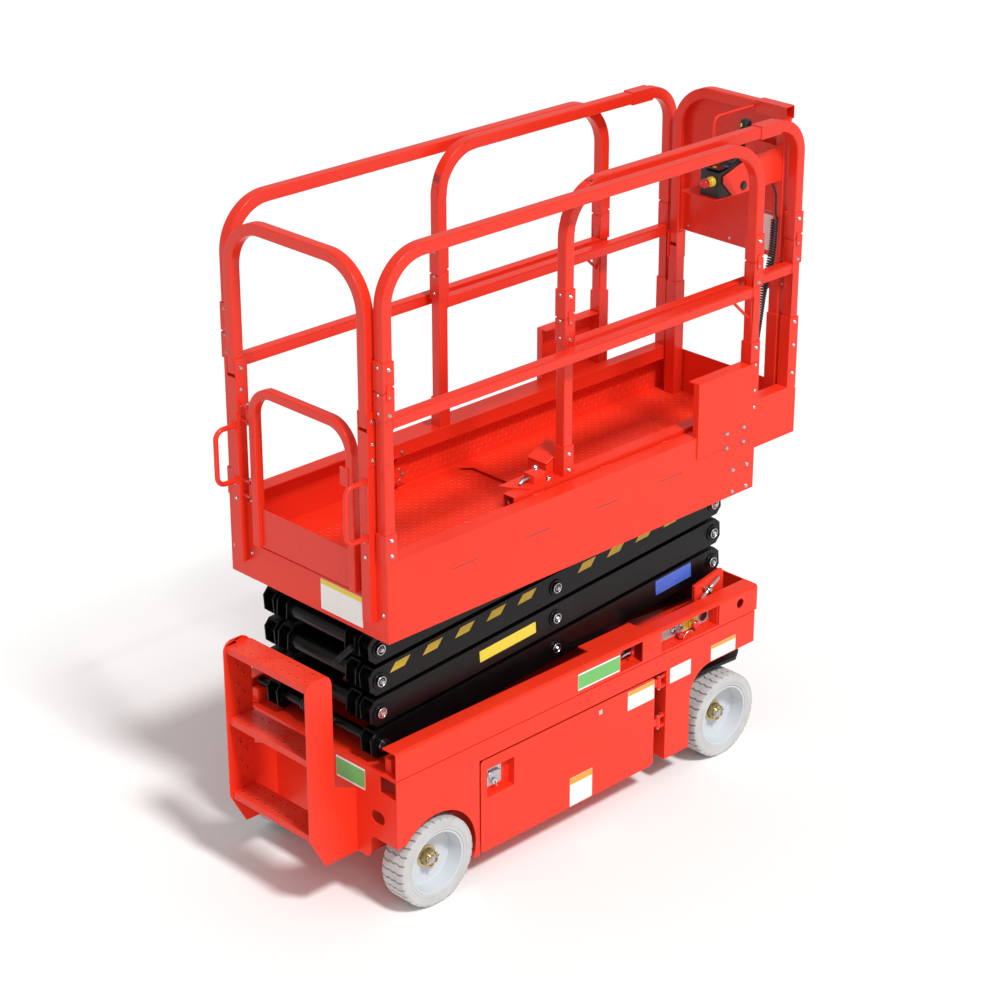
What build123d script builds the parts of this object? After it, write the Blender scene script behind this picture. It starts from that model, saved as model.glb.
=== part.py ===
"""Self-propelled electric scissor lift, platform lowered, guard rails up.

Frame: millimetres, +Z up, the steered end towards +X, the machine's left at +Y.
The origin lies on the floor under the middle of the whole machine.
Each node is written to parts/NODE.step.
"""
import os
from math import asin, degrees

from build123d import *

os.makedirs("parts", exist_ok=True)

# ---------------------------------------------------------------- chassis
CHASSIS_REAR = -863
CHASSIS_FRONT = 803
CHASSIS_HALF = 375
SKIN = 5
DECK_TOP = 508
DECK_PLATE = 8
DECK_UNDER = DECK_TOP - DECK_PLATE
BELLY_Z = 98
TAIL_HALF = CHASSIS_HALF - 125
BELLY_REAR = -515
BAY_HALF = CHASSIS_HALF - 225
NOSE_HALF = BAY_HALF - 25
NOSE_BOTTOM = 150
NOSE_TOP = 300
TAIL_BOTTOM = 185
TAIL_CORNER = 20
REAR_PLATE_BOTTOM = 268
REAR_PLATE_TOP = 440
REAR_PLATE_FOLD = 28
REAR_LIP_HALF = CHASSIS_HALF - 75
OBROUND_Y = CHASSIS_HALF - 88
OBROUND_Z = 346
OBROUND_SIZE = (62, 44)
FRONT_ARCH_TOP = 388
FRONT_ARCH_REAR = 477
FRONT_ARCH_CORNER = 102
REAR_ARCH_RADIUS = 168
REAR_ARCH_LIFT = 7
DOOR_REAR = -512
DOOR_FRONT = 300
DOOR_TOP = 440
DOOR_GAP = 6
DOOR_CORNER = 14
DOOR_HOLE_X = 41
DOOR_HOLE_Z = 401
DOOR_HOLE = 20
LATCH_X = (-479, -359)
LATCH_Z = (294, 396)
LATCH_DEPTH = 26
TRAY_DEPTH = 212
TRAY_REAR = -470
TRAY_SHEET = 4
TRAY_END_HEIGHT = 112
TRAY_FLOOR_LIFT = 8
TRAY_HINGE_X = 330
TRAY_HINGE_Y = CHASSIS_HALF - 13
TRAY_HINGE_RADIUS = 10
TRAY_HINGE_HALF = 24
TRAY_BARREL_HALF = 13.5
TRAY_HINGE_Z = (250, 400)
TRAY_PIN_RADIUS = 5
PILLAR_REAR = 356
LOAD_HEIGHT = 250
LOAD_INSET = 12

# ---------------------------------------------------------------- slide rails
RAIL_TOP = 603
RAIL_FRONT = CHASSIS_FRONT + 9
RAIL_WALL = 5
RAIL_FOLD = 12
RAIL_FLANGE = 62
RAIL_WIDE_FLANGE = 110
RAIL_WIDE_X = (40, 285)
RELEASE_SLOT_X = (131, 236)
CONTROL_SLOT_X = (327, 616)
CONTROL_SLOT_LIFT = 9
CONTROL_DEPTH = 46
TIE_HOLE_X = 724
TIE_HOLE_Z = 560
TIE_HOLE_RADIUS = 17
TRACK_WIDTH = 26
TRACK_GAP = 0.3

# ---------------------------------------------------------------- wheels
TYRE_DIAMETER = 305
TYRE_WIDTH = 100
TYRE_SHOULDER = 7
RIM_DIAMETER = 218
RIM_WALL = 6
RIM_SEAT = 3
DISH_DEPTH = 58
HUB_THICK = 34
WEB_THICK = 14
HUB_FLANGE_RADIUS = 52
HUB_HOLE = 20
HUB_FIT = 0.05
HUB_NUT_RADIUS = 29
HUB_NUT_HEIGHT = 24
HUB_NUT_GAP = 0.5
HUB_END = 4
REAR_WHEEL_X = -697
WHEELBASE = 1354
WHEEL_FACE_Y = CHASSIS_HALF + 5

# ---------------------------------------------------------------- scissor stack
STAGES = 4
PIN_REAR_X = -809
PIN_FRONT_X = 711
PIN_BASE_Z = 572
PITCH = 108.5
ARM_HEIGHT = 94
ARM_WIDTH = 50
ARM_WALL = 5
ARM_OVERHANG = 40
ARM_CHAMFER = 22
OUTER_Y = CHASSIS_HALF - 152
INNER_Y = OUTER_Y - ARM_WIDTH - 14
PIN_DIAMETER = 36
PIN_FIT = 0.05
OPEN_PIN_FIT = 0.6
CROSS_TUBE = 60
PIN_HEAD = 9
SLIDE_HALF = CHASSIS_HALF - 47
SLIDE_END_RADIUS = 14.5
EAR_THICK = 12
EAR_GAP = 36
EAR_TOP = 668

# ---------------------------------------------------------------- lift cylinder
FOOT_ALONG = -630
FOOT_OFF = -70
EYE_ALONG = -16
EYE_OFF = 70
BARREL_DIAMETER = 84
BARREL_SHORT = 96
BARREL_BORE_FROM = 120
ROD_DIAMETER = 48
ROD_BORE_FIT = 0.3
EYE_DIAMETER = 64
EYE_WIDTH = 60
EYE_PIN = 32
LUG_THICK = 10
LUG_REACH = 46
LUG_SIDE_GAP = 2

# ---------------------------------------------------------------- steering
KINGPIN_Y = WHEEL_FACE_Y - 140
KINGPIN_DIAMETER = 30
KINGPIN_WALL = 6.5
KINGPIN_Z = (80, 356)
KINGPIN_TUBE_Z = (104, 300)
KNUCKLE_THICK = 13
KNUCKLE_HALF = 55
KNUCKLE_YOKE = 30
KNUCKLE_ARM_TOP = 332
KNUCKLE_ARM_THICK = 12
KNUCKLE_ROOF_FRONT = 145
KNUCKLE_ROOF_SIDE = 65
KNUCKLE_YOKE_Z = ((80, 98), (306, 324))
STEER_ARM_REACH = 112
STEER_EYE_RADIUS = 18
STEER_PIN_RADIUS = 8
TIE_ROD_RADIUS = 8
TIE_EYE_RADIUS = 17
TIE_EYE_THICK = 14
TIE_ROD_LIFT = 0.5

# ---------------------------------------------------------------- ladder
LADDER_FRONT = CHASSIS_REAR - 87
LADDER_REAR = CHASSIS_REAR - 192
LADDER_Y = (-186, 198)
LADDER_SHEET = 6
LADDER_BOTTOM = 185
LADDER_FOOT_TOP = 409
LADDER_TOP = 842
LADDER_CORNER = 26
STEP_Z = (310, 575, 826)
STEP_SHEET = 4
STEP_LIP = 22
STEP_HOLES = 5
STEP_HOLE = 34

# ---------------------------------------------------------------- platform
DECK_REAR = -874
DECK_FRONT = 774
DECK_HALF = CHASSIS_HALF - 10
FLOOR_TOP = 1070
FLOOR_PLATE = 4
SILL_BOTTOM = 977
SILL_TOP = 1239
SILL_SHEET = 4
SILL_FLANGE = 57
SILL_FOOT = 30
SILL_RETURN = 115
REAR_SILL_Z = (1037, 1100)
CHANNEL_Y = (DECK_HALF - 99, DECK_HALF - 59)
CHANNEL_Z = (978, 1056)
CHANNEL_SHEET = 6
CHANNEL_FRONT = 60
PIVOT_PLATE_TOP = 45
PIVOT_PLATE_FOOT = 30
PIVOT_PLATE_DROP = 34
BULKHEAD_REAR = 482
BULKHEAD_BOTTOM = 1165
BULKHEAD_TOP = 1427
BULKHEAD_FLANGE = 46
BULKHEAD_RETURN = 24
BULKHEAD_NOTCH = 39

# ---------------------------------------------------------------- guard rails
TUBE = 38
TUBE_CORNER = 4
BRACKET_SHEET = 3
HINGE_BOLT = 6
RAIL_BEND = 150
RAIL_TOP_Z = 2190
MID_RAIL_Z = 1675
SIDE_RAIL_Y = DECK_HALF - 22
SIDE_RAIL_REAR = -855
SIDE_RAIL_FRONT = 760
SOCKET_SEAT = 12
SOCKET_REAR_TOP = 1330
SOCKET_FRONT_TOP = 1500
SPLIT_Z = 1779
SPLIT_GAP = 7
SPLIT_SLANT = 8
BRACKET_Z = (1690, 1868)
BRACE_RADIUS = 5
BRACE_RUN = 100
BRACE_DROP = 75
REAR_RAIL_X = DECK_REAR - 6
REAR_RAIL_Y = DECK_HALF - 68
REAR_RAIL_TOP_Z = 2165
REAR_HINGE_Z = 1680
REAR_POST_FOOT = 1037
GRAB_Z = (1310, 1490)
GRAB_REACH = 70
GRAB_RADIUS = 8
GRAB_BEND = 30
GATE_LEFT = REAR_RAIL_Y - 82
GATE_RIGHT = 69 - REAR_RAIL_Y
GATE_HINGE_Y = REAR_RAIL_Y - 55
GATE_HINGE_Z = (1290, 1540)
GATE_HINGE_RADIUS = 9
GATE_PIN_RADIUS = 5
GATE_LUG_HALF = 30
GATE_BARREL_HALF = 20
GATE_TUBE = 30
GATE_BEND = 90
GATE_TOP_Z = 1650
GATE_BOTTOM_Z = 1112

# ---------------------------------------------------------------- extension deck
EXT_FRONT = 1055
EXT_PLATE_REAR = 50
EXT_STRIP_REAR = -246
EXT_STRIP_WIDTH = 26
EXT_CHAMFER = 40
EXT_PLATE_Z = 1078
EXT_PLATE = 4
EXT_HALF = DECK_HALF - 62
EXT_SHEET = 4
EXT_PAD_GAP = 0.3
EXT_PAD_WIDTH = 24
EXT_PAD_FRONT = DECK_FRONT - 10
EXT_TUBE = 48
EXT_TUBE_TOP = SILL_TOP + 13
EXT_TUBE_REAR = -292
EXT_TUBE_WALL = 3
EXT_RAIL_Y = EXT_HALF - 22
EXT_RAIL_REAR = -52
EXT_RAIL_TOP_Z = 2198
EXT_SOCKET = 100
EXT_SOCKET_FRONT_TOP = 1500
EXT_POST_X = EXT_FRONT - 22
EXT_FRONT_BEND = 110
EXT_SLEEVE_X = (EXT_POST_X - 213, EXT_POST_X - 113)
FRONT_RAIL_X = EXT_POST_X - 9
FRONT_RAIL_Y = EXT_HALF - 76
FRONT_RAIL_TOP_Z = 2214
FRONT_SLEEVE = 132
FRONT_HINGE_Z = 1660
PANEL_BOTTOM_Z = FRONT_HINGE_Z + 24
PANEL_SHEET = 3

# ---------------------------------------------------------------- operator's control
TRAY_RIGHT = -FRONT_RAIL_Y - 11
TRAY_Y = (TRAY_RIGHT, TRAY_RIGHT + 150)
TRAY_SLIT = 56
BOX_X = (700, 880)
BOX_Y = (TRAY_RIGHT + 3, TRAY_RIGHT + 88)
BOX_FLOOR = 1972
BOX_HEIGHT = 90
BOX_SLOPE = 26
CHEEK_X = (BOX_X[0] + 12, FRONT_RAIL_X - TUBE / 2 + 1)
CHEEK_SHEET = 3
CHEEK_TOP = BOX_FLOOR + 110
CHEEK_HOLE = 14
GUARD_ROD = 5
GUARD_X = BOX_X[1] - 70
GUARD_Y = BOX_Y[1] + 40
GUARD_BEND = 25
CORD_RADIUS = 3.5
COIL_RADIUS = 13.5
CORD_BEND = 30
COIL_GAP = 0.001
CORD_PLUG = (34, 34, 46)
CORD_PLUG_TOP = 1240

FRONT_WHEEL_X = REAR_WHEEL_X + WHEELBASE
WHEEL_RADIUS = TYRE_DIAMETER / 2
WHEEL_Y = WHEEL_FACE_Y - TYRE_WIDTH / 2
ARM_LENGTH = ((PIN_FRONT_X - PIN_REAR_X) ** 2 + PITCH ** 2) ** 0.5
ARM_ANGLE = degrees(asin(PITCH / ARM_LENGTH))
PIN_MID_X = (PIN_REAR_X + PIN_FRONT_X) / 2
PIN_HEAD_Y = OUTER_Y + ARM_WIDTH / 2 + PIN_HEAD
SIDES = {"left": 1, "right": -1}


def level_z(level):
    """Height of the pin line at a level, 0 at the chassis and STAGES at the platform."""
    return PIN_BASE_Z + level * PITCH


def block(x_span, y_span, z_span):
    """Box between pairs of limits."""
    spans = [sorted(span) for span in (x_span, y_span, z_span)]
    size = [high - low for low, high in spans]
    middle = [(high + low) / 2 for low, high in spans]
    return Pos(*middle) * Box(*size)


def rod_y(x, z, radius, y_from, y_to):
    """Round bar along Y."""
    length = abs(y_to - y_from)
    return Pos(x, (y_from + y_to) / 2, z) * Rot(90, 0, 0) * Cylinder(radius, length)


def rod_z(x, y, radius, z_from, z_to):
    """Round bar along Z."""
    return Pos(x, y, (z_from + z_to) / 2) * Cylinder(radius, z_to - z_from)


def mirror_y(shape):
    """The same shape on the other side of the machine."""
    return mirror(shape, about=Plane.XZ)


def on_side(shape, side):
    """A left-hand shape placed on the named side."""
    return shape if SIDES[side] > 0 else mirror_y(shape)


def both_sides(shape):
    """A left-hand shape and its mirror image as two solids that don't touch."""
    return Compound([shape, mirror_y(shape)])


def bent_tube(points, bend, across, size=TUBE, corner=TUBE_CORNER):
    """Square tube along points in one plane, whose normal is across."""
    path = FilletPolyline(*points, radius=bend)
    start = Plane(origin=path @ 0, x_dir=across, z_dir=path % 0)
    return sweep(start * RectangleRounded(size, size, corner), path=path)


def bent_rod(points, bend, radius):
    """Round bar along points with bent corners."""
    path = FilletPolyline(*points, radius=bend)
    start = Plane(origin=path @ 0, z_dir=path % 0)
    return sweep(start * Circle(radius), path=path)


def straight_tube(start, end, across, size=TUBE, corner=TUBE_CORNER):
    """Straight square tube between two points."""
    run = Vector(*end) - Vector(*start)
    plane = Plane(origin=start, x_dir=across, z_dir=run)
    return extrude(plane * RectangleRounded(size, size, corner), amount=run.length)


def straight_rod(start, end, radius):
    """Straight round bar between two points."""
    run = Vector(*end) - Vector(*start)
    return extrude(Plane(origin=start, z_dir=run) * Circle(radius), amount=run.length)


def sheet_xz(face, y_from, y_to):
    """Flat plate from a face drawn in X and Z, between two Y faces."""
    low, high = sorted((y_from, y_to))
    plane = Plane(origin=(0, low, 0), x_dir=(1, 0, 0), z_dir=(0, -1, 0))
    return extrude(plane * face, amount=low - high)


def sheet_yz(face, x_from, x_to):
    """Flat plate from a face drawn in Y and Z, between two X faces."""
    plane = Plane(origin=(x_from, 0, 0), x_dir=(0, 1, 0), z_dir=(1, 0, 0))
    return extrude(plane * face, amount=x_to - x_from)


def plate_xz(points, y_from, y_to):
    """Flat plate with a straight-edged outline in X and Z."""
    return sheet_xz(make_face(Polyline(*points, close=True)), y_from, y_to)


def sleeve(x, y, z_from, z_to):
    """Upright square sleeve round a guard rail tube."""
    side = TUBE + 2 * BRACKET_SHEET
    return Pos(x, y, (z_from + z_to) / 2) * Box(side, side, z_to - z_from)


def save(name, shape):
    """Write a node's STEP file."""
    shape.label = name
    export_step(shape, f"parts/{name}.step")


# ---------------------------------------------------------------- wheels
def make_tyre():
    """Solid tyre about its own centre, axis along Y."""
    body = Rot(90, 0, 0) * Cylinder(WHEEL_RADIUS, TYRE_WIDTH)
    body = fillet(body.edges().filter_by(GeomType.CIRCLE), TYRE_SHOULDER)
    return body - Rot(90, 0, 0) * Cylinder(RIM_DIAMETER / 2, TYRE_WIDTH + 2)


def make_rim():
    """Deep-dished steel wheel, axis along Y, dish open towards +Y."""
    half = TYRE_WIDTH / 2
    radius = RIM_DIAMETER / 2
    bore = HUB_HOLE + HUB_FIT
    web = half - DISH_DEPTH
    back = web - WEB_THICK
    dish = radius - RIM_WALL - 16
    outline = [
        (bore, web - HUB_THICK), (HUB_FLANGE_RADIUS, web - HUB_THICK), (HUB_FLANGE_RADIUS, back),
        (dish, back), (radius - RIM_WALL, back - 20), (radius - RIM_WALL, RIM_SEAT - half),
        (radius, RIM_SEAT - half), (radius, half - RIM_SEAT), (radius - RIM_WALL, half - RIM_SEAT),
        (radius - RIM_WALL - 8, web + 4), (dish, web), (bore, web),
    ]
    face = make_face(Polyline(*outline, close=True))
    return revolve(Plane.XY * face, axis=Axis.Y, revolution_arc=360)


def make_wheels():
    """Four tyres and rims; the left ones face +Y."""
    tyre = make_tyre()
    rim = make_rim()
    for end, x in (("rear", REAR_WHEEL_X), ("front", FRONT_WHEEL_X)):
        for side in SIDES:
            place = Pos(x, WHEEL_Y, WHEEL_RADIUS)
            save(f"tyre_{end}_{side}", on_side(place * tyre, side))
            save(f"rim_{end}_{side}", on_side(place * rim, side))


def hub_end(x, y_from):
    """Spindle through a wheel's hub with its nut, on the left side."""
    web_y = WHEEL_FACE_Y - DISH_DEPTH + HUB_NUT_GAP
    spindle = rod_y(x, WHEEL_RADIUS, HUB_HOLE, y_from, web_y + HUB_NUT_HEIGHT + HUB_END)
    nut = extrude(RegularPolygon(HUB_NUT_RADIUS, 6), HUB_NUT_HEIGHT)
    return spindle + Pos(x, web_y, WHEEL_RADIUS) * Rot(-90, 0, 0) * nut


# ---------------------------------------------------------------- chassis
def make_chassis_deck():
    """Top plate of the chassis with the two ears of the fixed arm pivot."""
    deck = block((CHASSIS_REAR, CHASSIS_FRONT), (SKIN - CHASSIS_HALF, CHASSIS_HALF - SKIN), (DECK_UNDER, DECK_TOP))
    ear_in = PIN_HEAD_Y - PIN_HEAD + EAR_GAP
    outline = [
        (PIN_FRONT_X - 135, DECK_TOP - 1), (PIN_FRONT_X - 135, EAR_TOP - 22), (PIN_FRONT_X - 22, EAR_TOP),
        (PIN_FRONT_X + 5, EAR_TOP), (PIN_FRONT_X + 11, EAR_TOP - 18), (PIN_FRONT_X + 11, PIN_BASE_Z + 22),
        (PIN_FRONT_X + 32, PIN_BASE_Z), (PIN_FRONT_X + 32, DECK_TOP - 1),
    ]
    left = plate_xz(outline, ear_in, ear_in + EAR_THICK)
    left += rod_y(PIN_FRONT_X, PIN_BASE_Z, PIN_DIAMETER / 2, INNER_Y - ARM_WIDTH / 2, ear_in + EAR_THICK + 8)
    return deck + left + mirror_y(left)


def obround_hole(y):
    """Cutter for the long hole in the rear plate."""
    slot = Pos(y, OBROUND_Z) * SlotOverall(*OBROUND_SIZE)
    return sheet_yz(slot, CHASSIS_REAR - 1, CHASSIS_REAR + SKIN + 1)


def make_chassis_tail():
    """Rear plate with its cut-away lower corners, side walls and underside."""
    half = CHASSIS_HALF - SKIN
    rear_x = (CHASSIS_REAR, CHASSIS_REAR + SKIN)
    outline = Polyline((-half, REAR_PLATE_TOP), (-half, REAR_PLATE_BOTTOM), (-TAIL_HALF - 14, REAR_PLATE_BOTTOM),
                       (-TAIL_HALF, REAR_PLATE_BOTTOM - 14), (-TAIL_HALF, TAIL_BOTTOM), (TAIL_HALF, TAIL_BOTTOM),
                       (TAIL_HALF, REAR_PLATE_BOTTOM - 14), (TAIL_HALF + 14, REAR_PLATE_BOTTOM),
                       (half, REAR_PLATE_BOTTOM), (half, REAR_PLATE_TOP), (REAR_LIP_HALF, REAR_PLATE_TOP),
                       (REAR_LIP_HALF, DECK_UNDER), (-REAR_LIP_HALF, DECK_UNDER),
                       (-REAR_LIP_HALF, REAR_PLATE_TOP), close=True)
    face = make_face(outline)
    low = face.vertices().filter_by_position(Axis.Y, TAIL_BOTTOM - 1, TAIL_BOTTOM + 1)
    tail = sheet_yz(fillet(low, TAIL_CORNER), *rear_x)
    tail -= obround_hole(OBROUND_Y) + obround_hole(-OBROUND_Y)
    for side in (1, -1):
        wall = (side * TAIL_HALF, side * (TAIL_HALF - SKIN))
        tail += block((CHASSIS_REAR + SKIN, BELLY_REAR), wall, (TAIL_BOTTOM + TAIL_CORNER, DECK_UNDER))
        tail += block((CHASSIS_REAR, CHASSIS_REAR + REAR_PLATE_FOLD), (side * REAR_LIP_HALF, side * half),
                      (REAR_PLATE_TOP - SKIN, REAR_PLATE_TOP))
        tail += block((REAR_WHEEL_X - 60, REAR_WHEEL_X + 60), (side * TAIL_HALF, side * (TAIL_HALF + 16)),
                      (TAIL_BOTTOM - 95, NOSE_TOP + 30))
    floor_half = TAIL_HALF - TAIL_CORNER
    tail += block((CHASSIS_REAR + SKIN, BELLY_REAR), (-TAIL_HALF, TAIL_HALF),
                  (TAIL_BOTTOM + TAIL_CORNER, TAIL_BOTTOM + TAIL_CORNER + SKIN))
    tail += block((CHASSIS_REAR, CHASSIS_REAR + SKIN + 20), (-floor_half, floor_half), (TAIL_BOTTOM, TAIL_BOTTOM + SKIN))
    return tail


def make_chassis_belly():
    """Middle box between the two trays, with its end plates."""
    wide = CHASSIS_HALF - SKIN
    belly = block((BELLY_REAR + SKIN, PILLAR_REAR), (-BAY_HALF, BAY_HALF), (BELLY_Z, BELLY_Z + SKIN))
    for side in (1, -1):
        wall = (side * BAY_HALF, side * (BAY_HALF - SKIN))
        belly += block((BELLY_REAR + SKIN, PILLAR_REAR), wall, (BELLY_Z, DECK_UNDER))
    belly += block((BELLY_REAR, BELLY_REAR + SKIN), (-wide, wide), (BELLY_Z, DECK_UNDER))
    belly += block((PILLAR_REAR, PILLAR_REAR + SKIN), (-wide, wide), (BELLY_Z, DECK_UNDER))
    for side in SIDES:
        belly += on_side(make_hinge_lugs(), side)
    return belly


def make_hinge_lugs():
    """Lugs and pins that carry the left tray, on the front end plate of its bay."""
    lugs = None
    for z in TRAY_HINGE_Z:
        for low, high in ((z - TRAY_HINGE_HALF, z - TRAY_BARREL_HALF - 0.5), (z + TRAY_BARREL_HALF + 0.5,
                                                                              z + TRAY_HINGE_HALF)):
            lug = block((TRAY_HINGE_X, PILLAR_REAR), (TRAY_HINGE_Y - 8, TRAY_HINGE_Y + 8), (low, high))
            lug += rod_z(TRAY_HINGE_X, TRAY_HINGE_Y, TRAY_HINGE_RADIUS, low, high)
            lugs = lug if lugs is None else lugs + lug
        lugs += rod_z(TRAY_HINGE_X, TRAY_HINGE_Y, TRAY_PIN_RADIUS, z - TRAY_HINGE_HALF - 2, z + TRAY_HINGE_HALF + 2)
    return lugs


def make_chassis_nose():
    """Narrow front box between the steered wheels, with the kingpin tubes and the front plate."""
    front = CHASSIS_FRONT - SKIN
    nose = None
    for side in (1, -1):
        wall = (side * NOSE_HALF, side * (NOSE_HALF - SKIN))
        plate = block((PILLAR_REAR + SKIN, front), wall, (NOSE_BOTTOM, NOSE_TOP))
        nose = plate if nose is None else nose + plate
    for z in (NOSE_BOTTOM, NOSE_TOP - SKIN):
        nose += block((PILLAR_REAR + SKIN, front), (-NOSE_HALF, NOSE_HALF), (z, z + SKIN))
    nose += block((front, CHASSIS_FRONT), (-NOSE_HALF, NOSE_HALF), (NOSE_BOTTOM, FRONT_ARCH_TOP))
    nose += block((front, CHASSIS_FRONT), (SKIN - CHASSIS_HALF, CHASSIS_HALF - SKIN), (FRONT_ARCH_TOP, DECK_UNDER))
    for side in SIDES:
        nose += on_side(make_kingpin_tube(), side)
    return nose


def make_kingpin_tube():
    """Vertical tube that carries the left kingpin, with its web plate."""
    web = block((FRONT_WHEEL_X - 18, FRONT_WHEEL_X + 18), (NOSE_HALF - SKIN, KINGPIN_Y - 5),
                (NOSE_BOTTOM + 10, NOSE_TOP - 10))
    tube = rod_z(FRONT_WHEEL_X, KINGPIN_Y, KINGPIN_DIAMETER / 2 + KINGPIN_WALL, *KINGPIN_TUBE_Z) + web
    return tube - rod_z(FRONT_WHEEL_X, KINGPIN_Y, KINGPIN_DIAMETER / 2 + PIN_FIT,
                        KINGPIN_TUBE_Z[0] - 1, KINGPIN_TUBE_Z[1] + 1)


def make_side_skin():
    """Outer plate of the left side: both wheel arches and the tray's opening are cut out."""
    inner = CHASSIS_HALF - SKIN
    span = (inner - 1, CHASSIS_HALF + 1)
    skin = block((CHASSIS_REAR, CHASSIS_FRONT), (inner, CHASSIS_HALF), (BELLY_Z, DECK_TOP - 3))
    arch = Pos((FRONT_ARCH_REAR + CHASSIS_FRONT + 200) / 2, (FRONT_ARCH_TOP - 300) / 2)
    arch *= RectangleRounded(CHASSIS_FRONT + 200 - FRONT_ARCH_REAR, FRONT_ARCH_TOP + 300, FRONT_ARCH_CORNER)
    skin -= sheet_xz(arch, *span)
    skin -= rod_y(REAR_WHEEL_X, WHEEL_RADIUS + REAR_ARCH_LIFT, REAR_ARCH_RADIUS, *span)
    skin -= block((CHASSIS_REAR - 1, REAR_WHEEL_X), span, (0, REAR_PLATE_BOTTOM))
    door = Pos((DOOR_REAR + PILLAR_REAR) / 2, DOOR_TOP / 2)
    door *= Rectangle(PILLAR_REAR - DOOR_REAR, DOOR_TOP)
    skin -= sheet_xz(door, *span)
    return skin


def make_slide_rail():
    """Left slide rail: a channel open towards the middle, its top edge folded, with the shaft's track."""
    inner = CHASSIS_HALF - RAIL_WALL
    profile = block((CHASSIS_REAR, RAIL_FRONT), (CHASSIS_HALF - RAIL_FLANGE, CHASSIS_HALF), (DECK_TOP, RAIL_TOP))
    profile += block(RAIL_WIDE_X, (CHASSIS_HALF - RAIL_WIDE_FLANGE, CHASSIS_HALF), (RAIL_TOP - RAIL_WALL, RAIL_TOP))
    top = profile.edges().filter_by(Axis.X).group_by(Axis.Z)[-1].sort_by(Axis.Y)[-1]
    profile = fillet(top, RAIL_FOLD)
    profile -= block((CHASSIS_REAR - 1, RAIL_FRONT - RAIL_WALL), (0, inner), (DECK_TOP + RAIL_WALL,
                                                                             RAIL_TOP - RAIL_WALL))
    profile += block((CHASSIS_REAR + 20, RAIL_WIDE_X[1] - 40), (SLIDE_HALF + 2 - TRACK_WIDTH, SLIDE_HALF + 2),
                     (DECK_TOP + 1, PIN_BASE_Z - SLIDE_END_RADIUS - TRACK_GAP))
    profile -= rod_y(TIE_HOLE_X, TIE_HOLE_Z, TIE_HOLE_RADIUS, inner - 1, CHASSIS_HALF + 1)
    return profile


def make_slide_rails():
    """Both slide rails; the right one has the openings of the release and of the lower controls."""
    left = make_slide_rail()
    right = mirror_y(left)
    wall = (-CHASSIS_HALF - 1, RAIL_WALL + RAIL_FOLD - CHASSIS_HALF)
    for slot_x in (RELEASE_SLOT_X, CONTROL_SLOT_X):
        right -= block(slot_x, wall, (DECK_TOP + CONTROL_SLOT_LIFT, RAIL_TOP - RAIL_FOLD))
    return Compound([left, right])


def make_front_bumper():
    """Cross plate that joins the two slide rails at the front, over the deck."""
    inner = CHASSIS_HALF - RAIL_FLANGE
    bumper = block((RAIL_FRONT - RAIL_WALL, RAIL_FRONT), (-inner, inner), (DECK_TOP, RAIL_TOP))
    return bumper + block((RAIL_FRONT - 24, RAIL_FRONT), (-inner, inner), (DECK_TOP, DECK_TOP + RAIL_WALL))


def make_ground_control():
    """Recessed tray of the lower controls in the right slide rail: back, floor and front end."""
    x_span = (CONTROL_SLOT_X[0] + 1, CONTROL_SLOT_X[1] - 1)
    outer = RAIL_WALL - CHASSIS_HALF
    back = outer + CONTROL_DEPTH
    z_low = DECK_TOP + RAIL_WALL
    z_high = RAIL_TOP - RAIL_WALL
    tray = block(x_span, (back - RAIL_WALL, back), (z_low, z_high))
    tray += block(x_span, (outer, back), (z_low, z_low + 4))
    tray += block((x_span[1] - 4, x_span[1]), (outer, back), (z_low, z_high))
    return tray


def make_tray():
    """Left swing-out tray: door skin with its latch recess, floor, ends and hinge barrels."""
    y_in = CHASSIS_HALF - TRAY_DEPTH
    y_out = CHASSIS_HALF - SKIN
    low = BELLY_Z + 2
    floor = BELLY_Z + TRAY_FLOOR_LIFT
    door = Pos((DOOR_REAR + DOOR_GAP + DOOR_FRONT) / 2, (low + DOOR_TOP - DOOR_GAP) / 2)
    door *= RectangleRounded(DOOR_FRONT - DOOR_REAR - DOOR_GAP, DOOR_TOP - DOOR_GAP - low, DOOR_CORNER)
    door -= Pos(DOOR_HOLE_X, DOOR_HOLE_Z) * Rectangle(DOOR_HOLE, DOOR_HOLE)
    door -= Pos(sum(LATCH_X) / 2, sum(LATCH_Z) / 2) * Rectangle(LATCH_X[1] - LATCH_X[0], LATCH_Z[1] - LATCH_Z[0])
    tray = sheet_xz(door, y_out, CHASSIS_HALF)
    pocket = block((LATCH_X[0] - 3, LATCH_X[1] + 3), (y_out - LATCH_DEPTH, y_out), (LATCH_Z[0] - 3, LATCH_Z[1] + 3))
    tray += pocket - block(LATCH_X, (y_out - LATCH_DEPTH + 3, y_out + 1), LATCH_Z)
    tray += block((TRAY_REAR, DOOR_FRONT), (y_in, y_out), (floor, floor + TRAY_SHEET))
    for x in (TRAY_REAR, DOOR_FRONT - TRAY_SHEET):
        tray += block((x, x + TRAY_SHEET), (y_in, y_out), (floor, floor + TRAY_END_HEIGHT))
    tray += block((DOOR_FRONT - TRAY_SHEET, DOOR_FRONT), (y_out - 36, y_out), (floor, DOOR_TOP - DOOR_GAP - DOOR_CORNER))
    for z in TRAY_HINGE_Z:
        z_span = (z - TRAY_BARREL_HALF, z + TRAY_BARREL_HALF)
        barrel = rod_z(TRAY_HINGE_X, TRAY_HINGE_Y, TRAY_HINGE_RADIUS, *z_span)
        barrel += block((DOOR_FRONT - 1, TRAY_HINGE_X), (TRAY_HINGE_Y - 4, TRAY_HINGE_Y + 4), z_span)
        tray += barrel - rod_z(TRAY_HINGE_X, TRAY_HINGE_Y, TRAY_PIN_RADIUS + PIN_FIT, z_span[0] - 1, z_span[1] + 1)
    return tray


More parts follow.
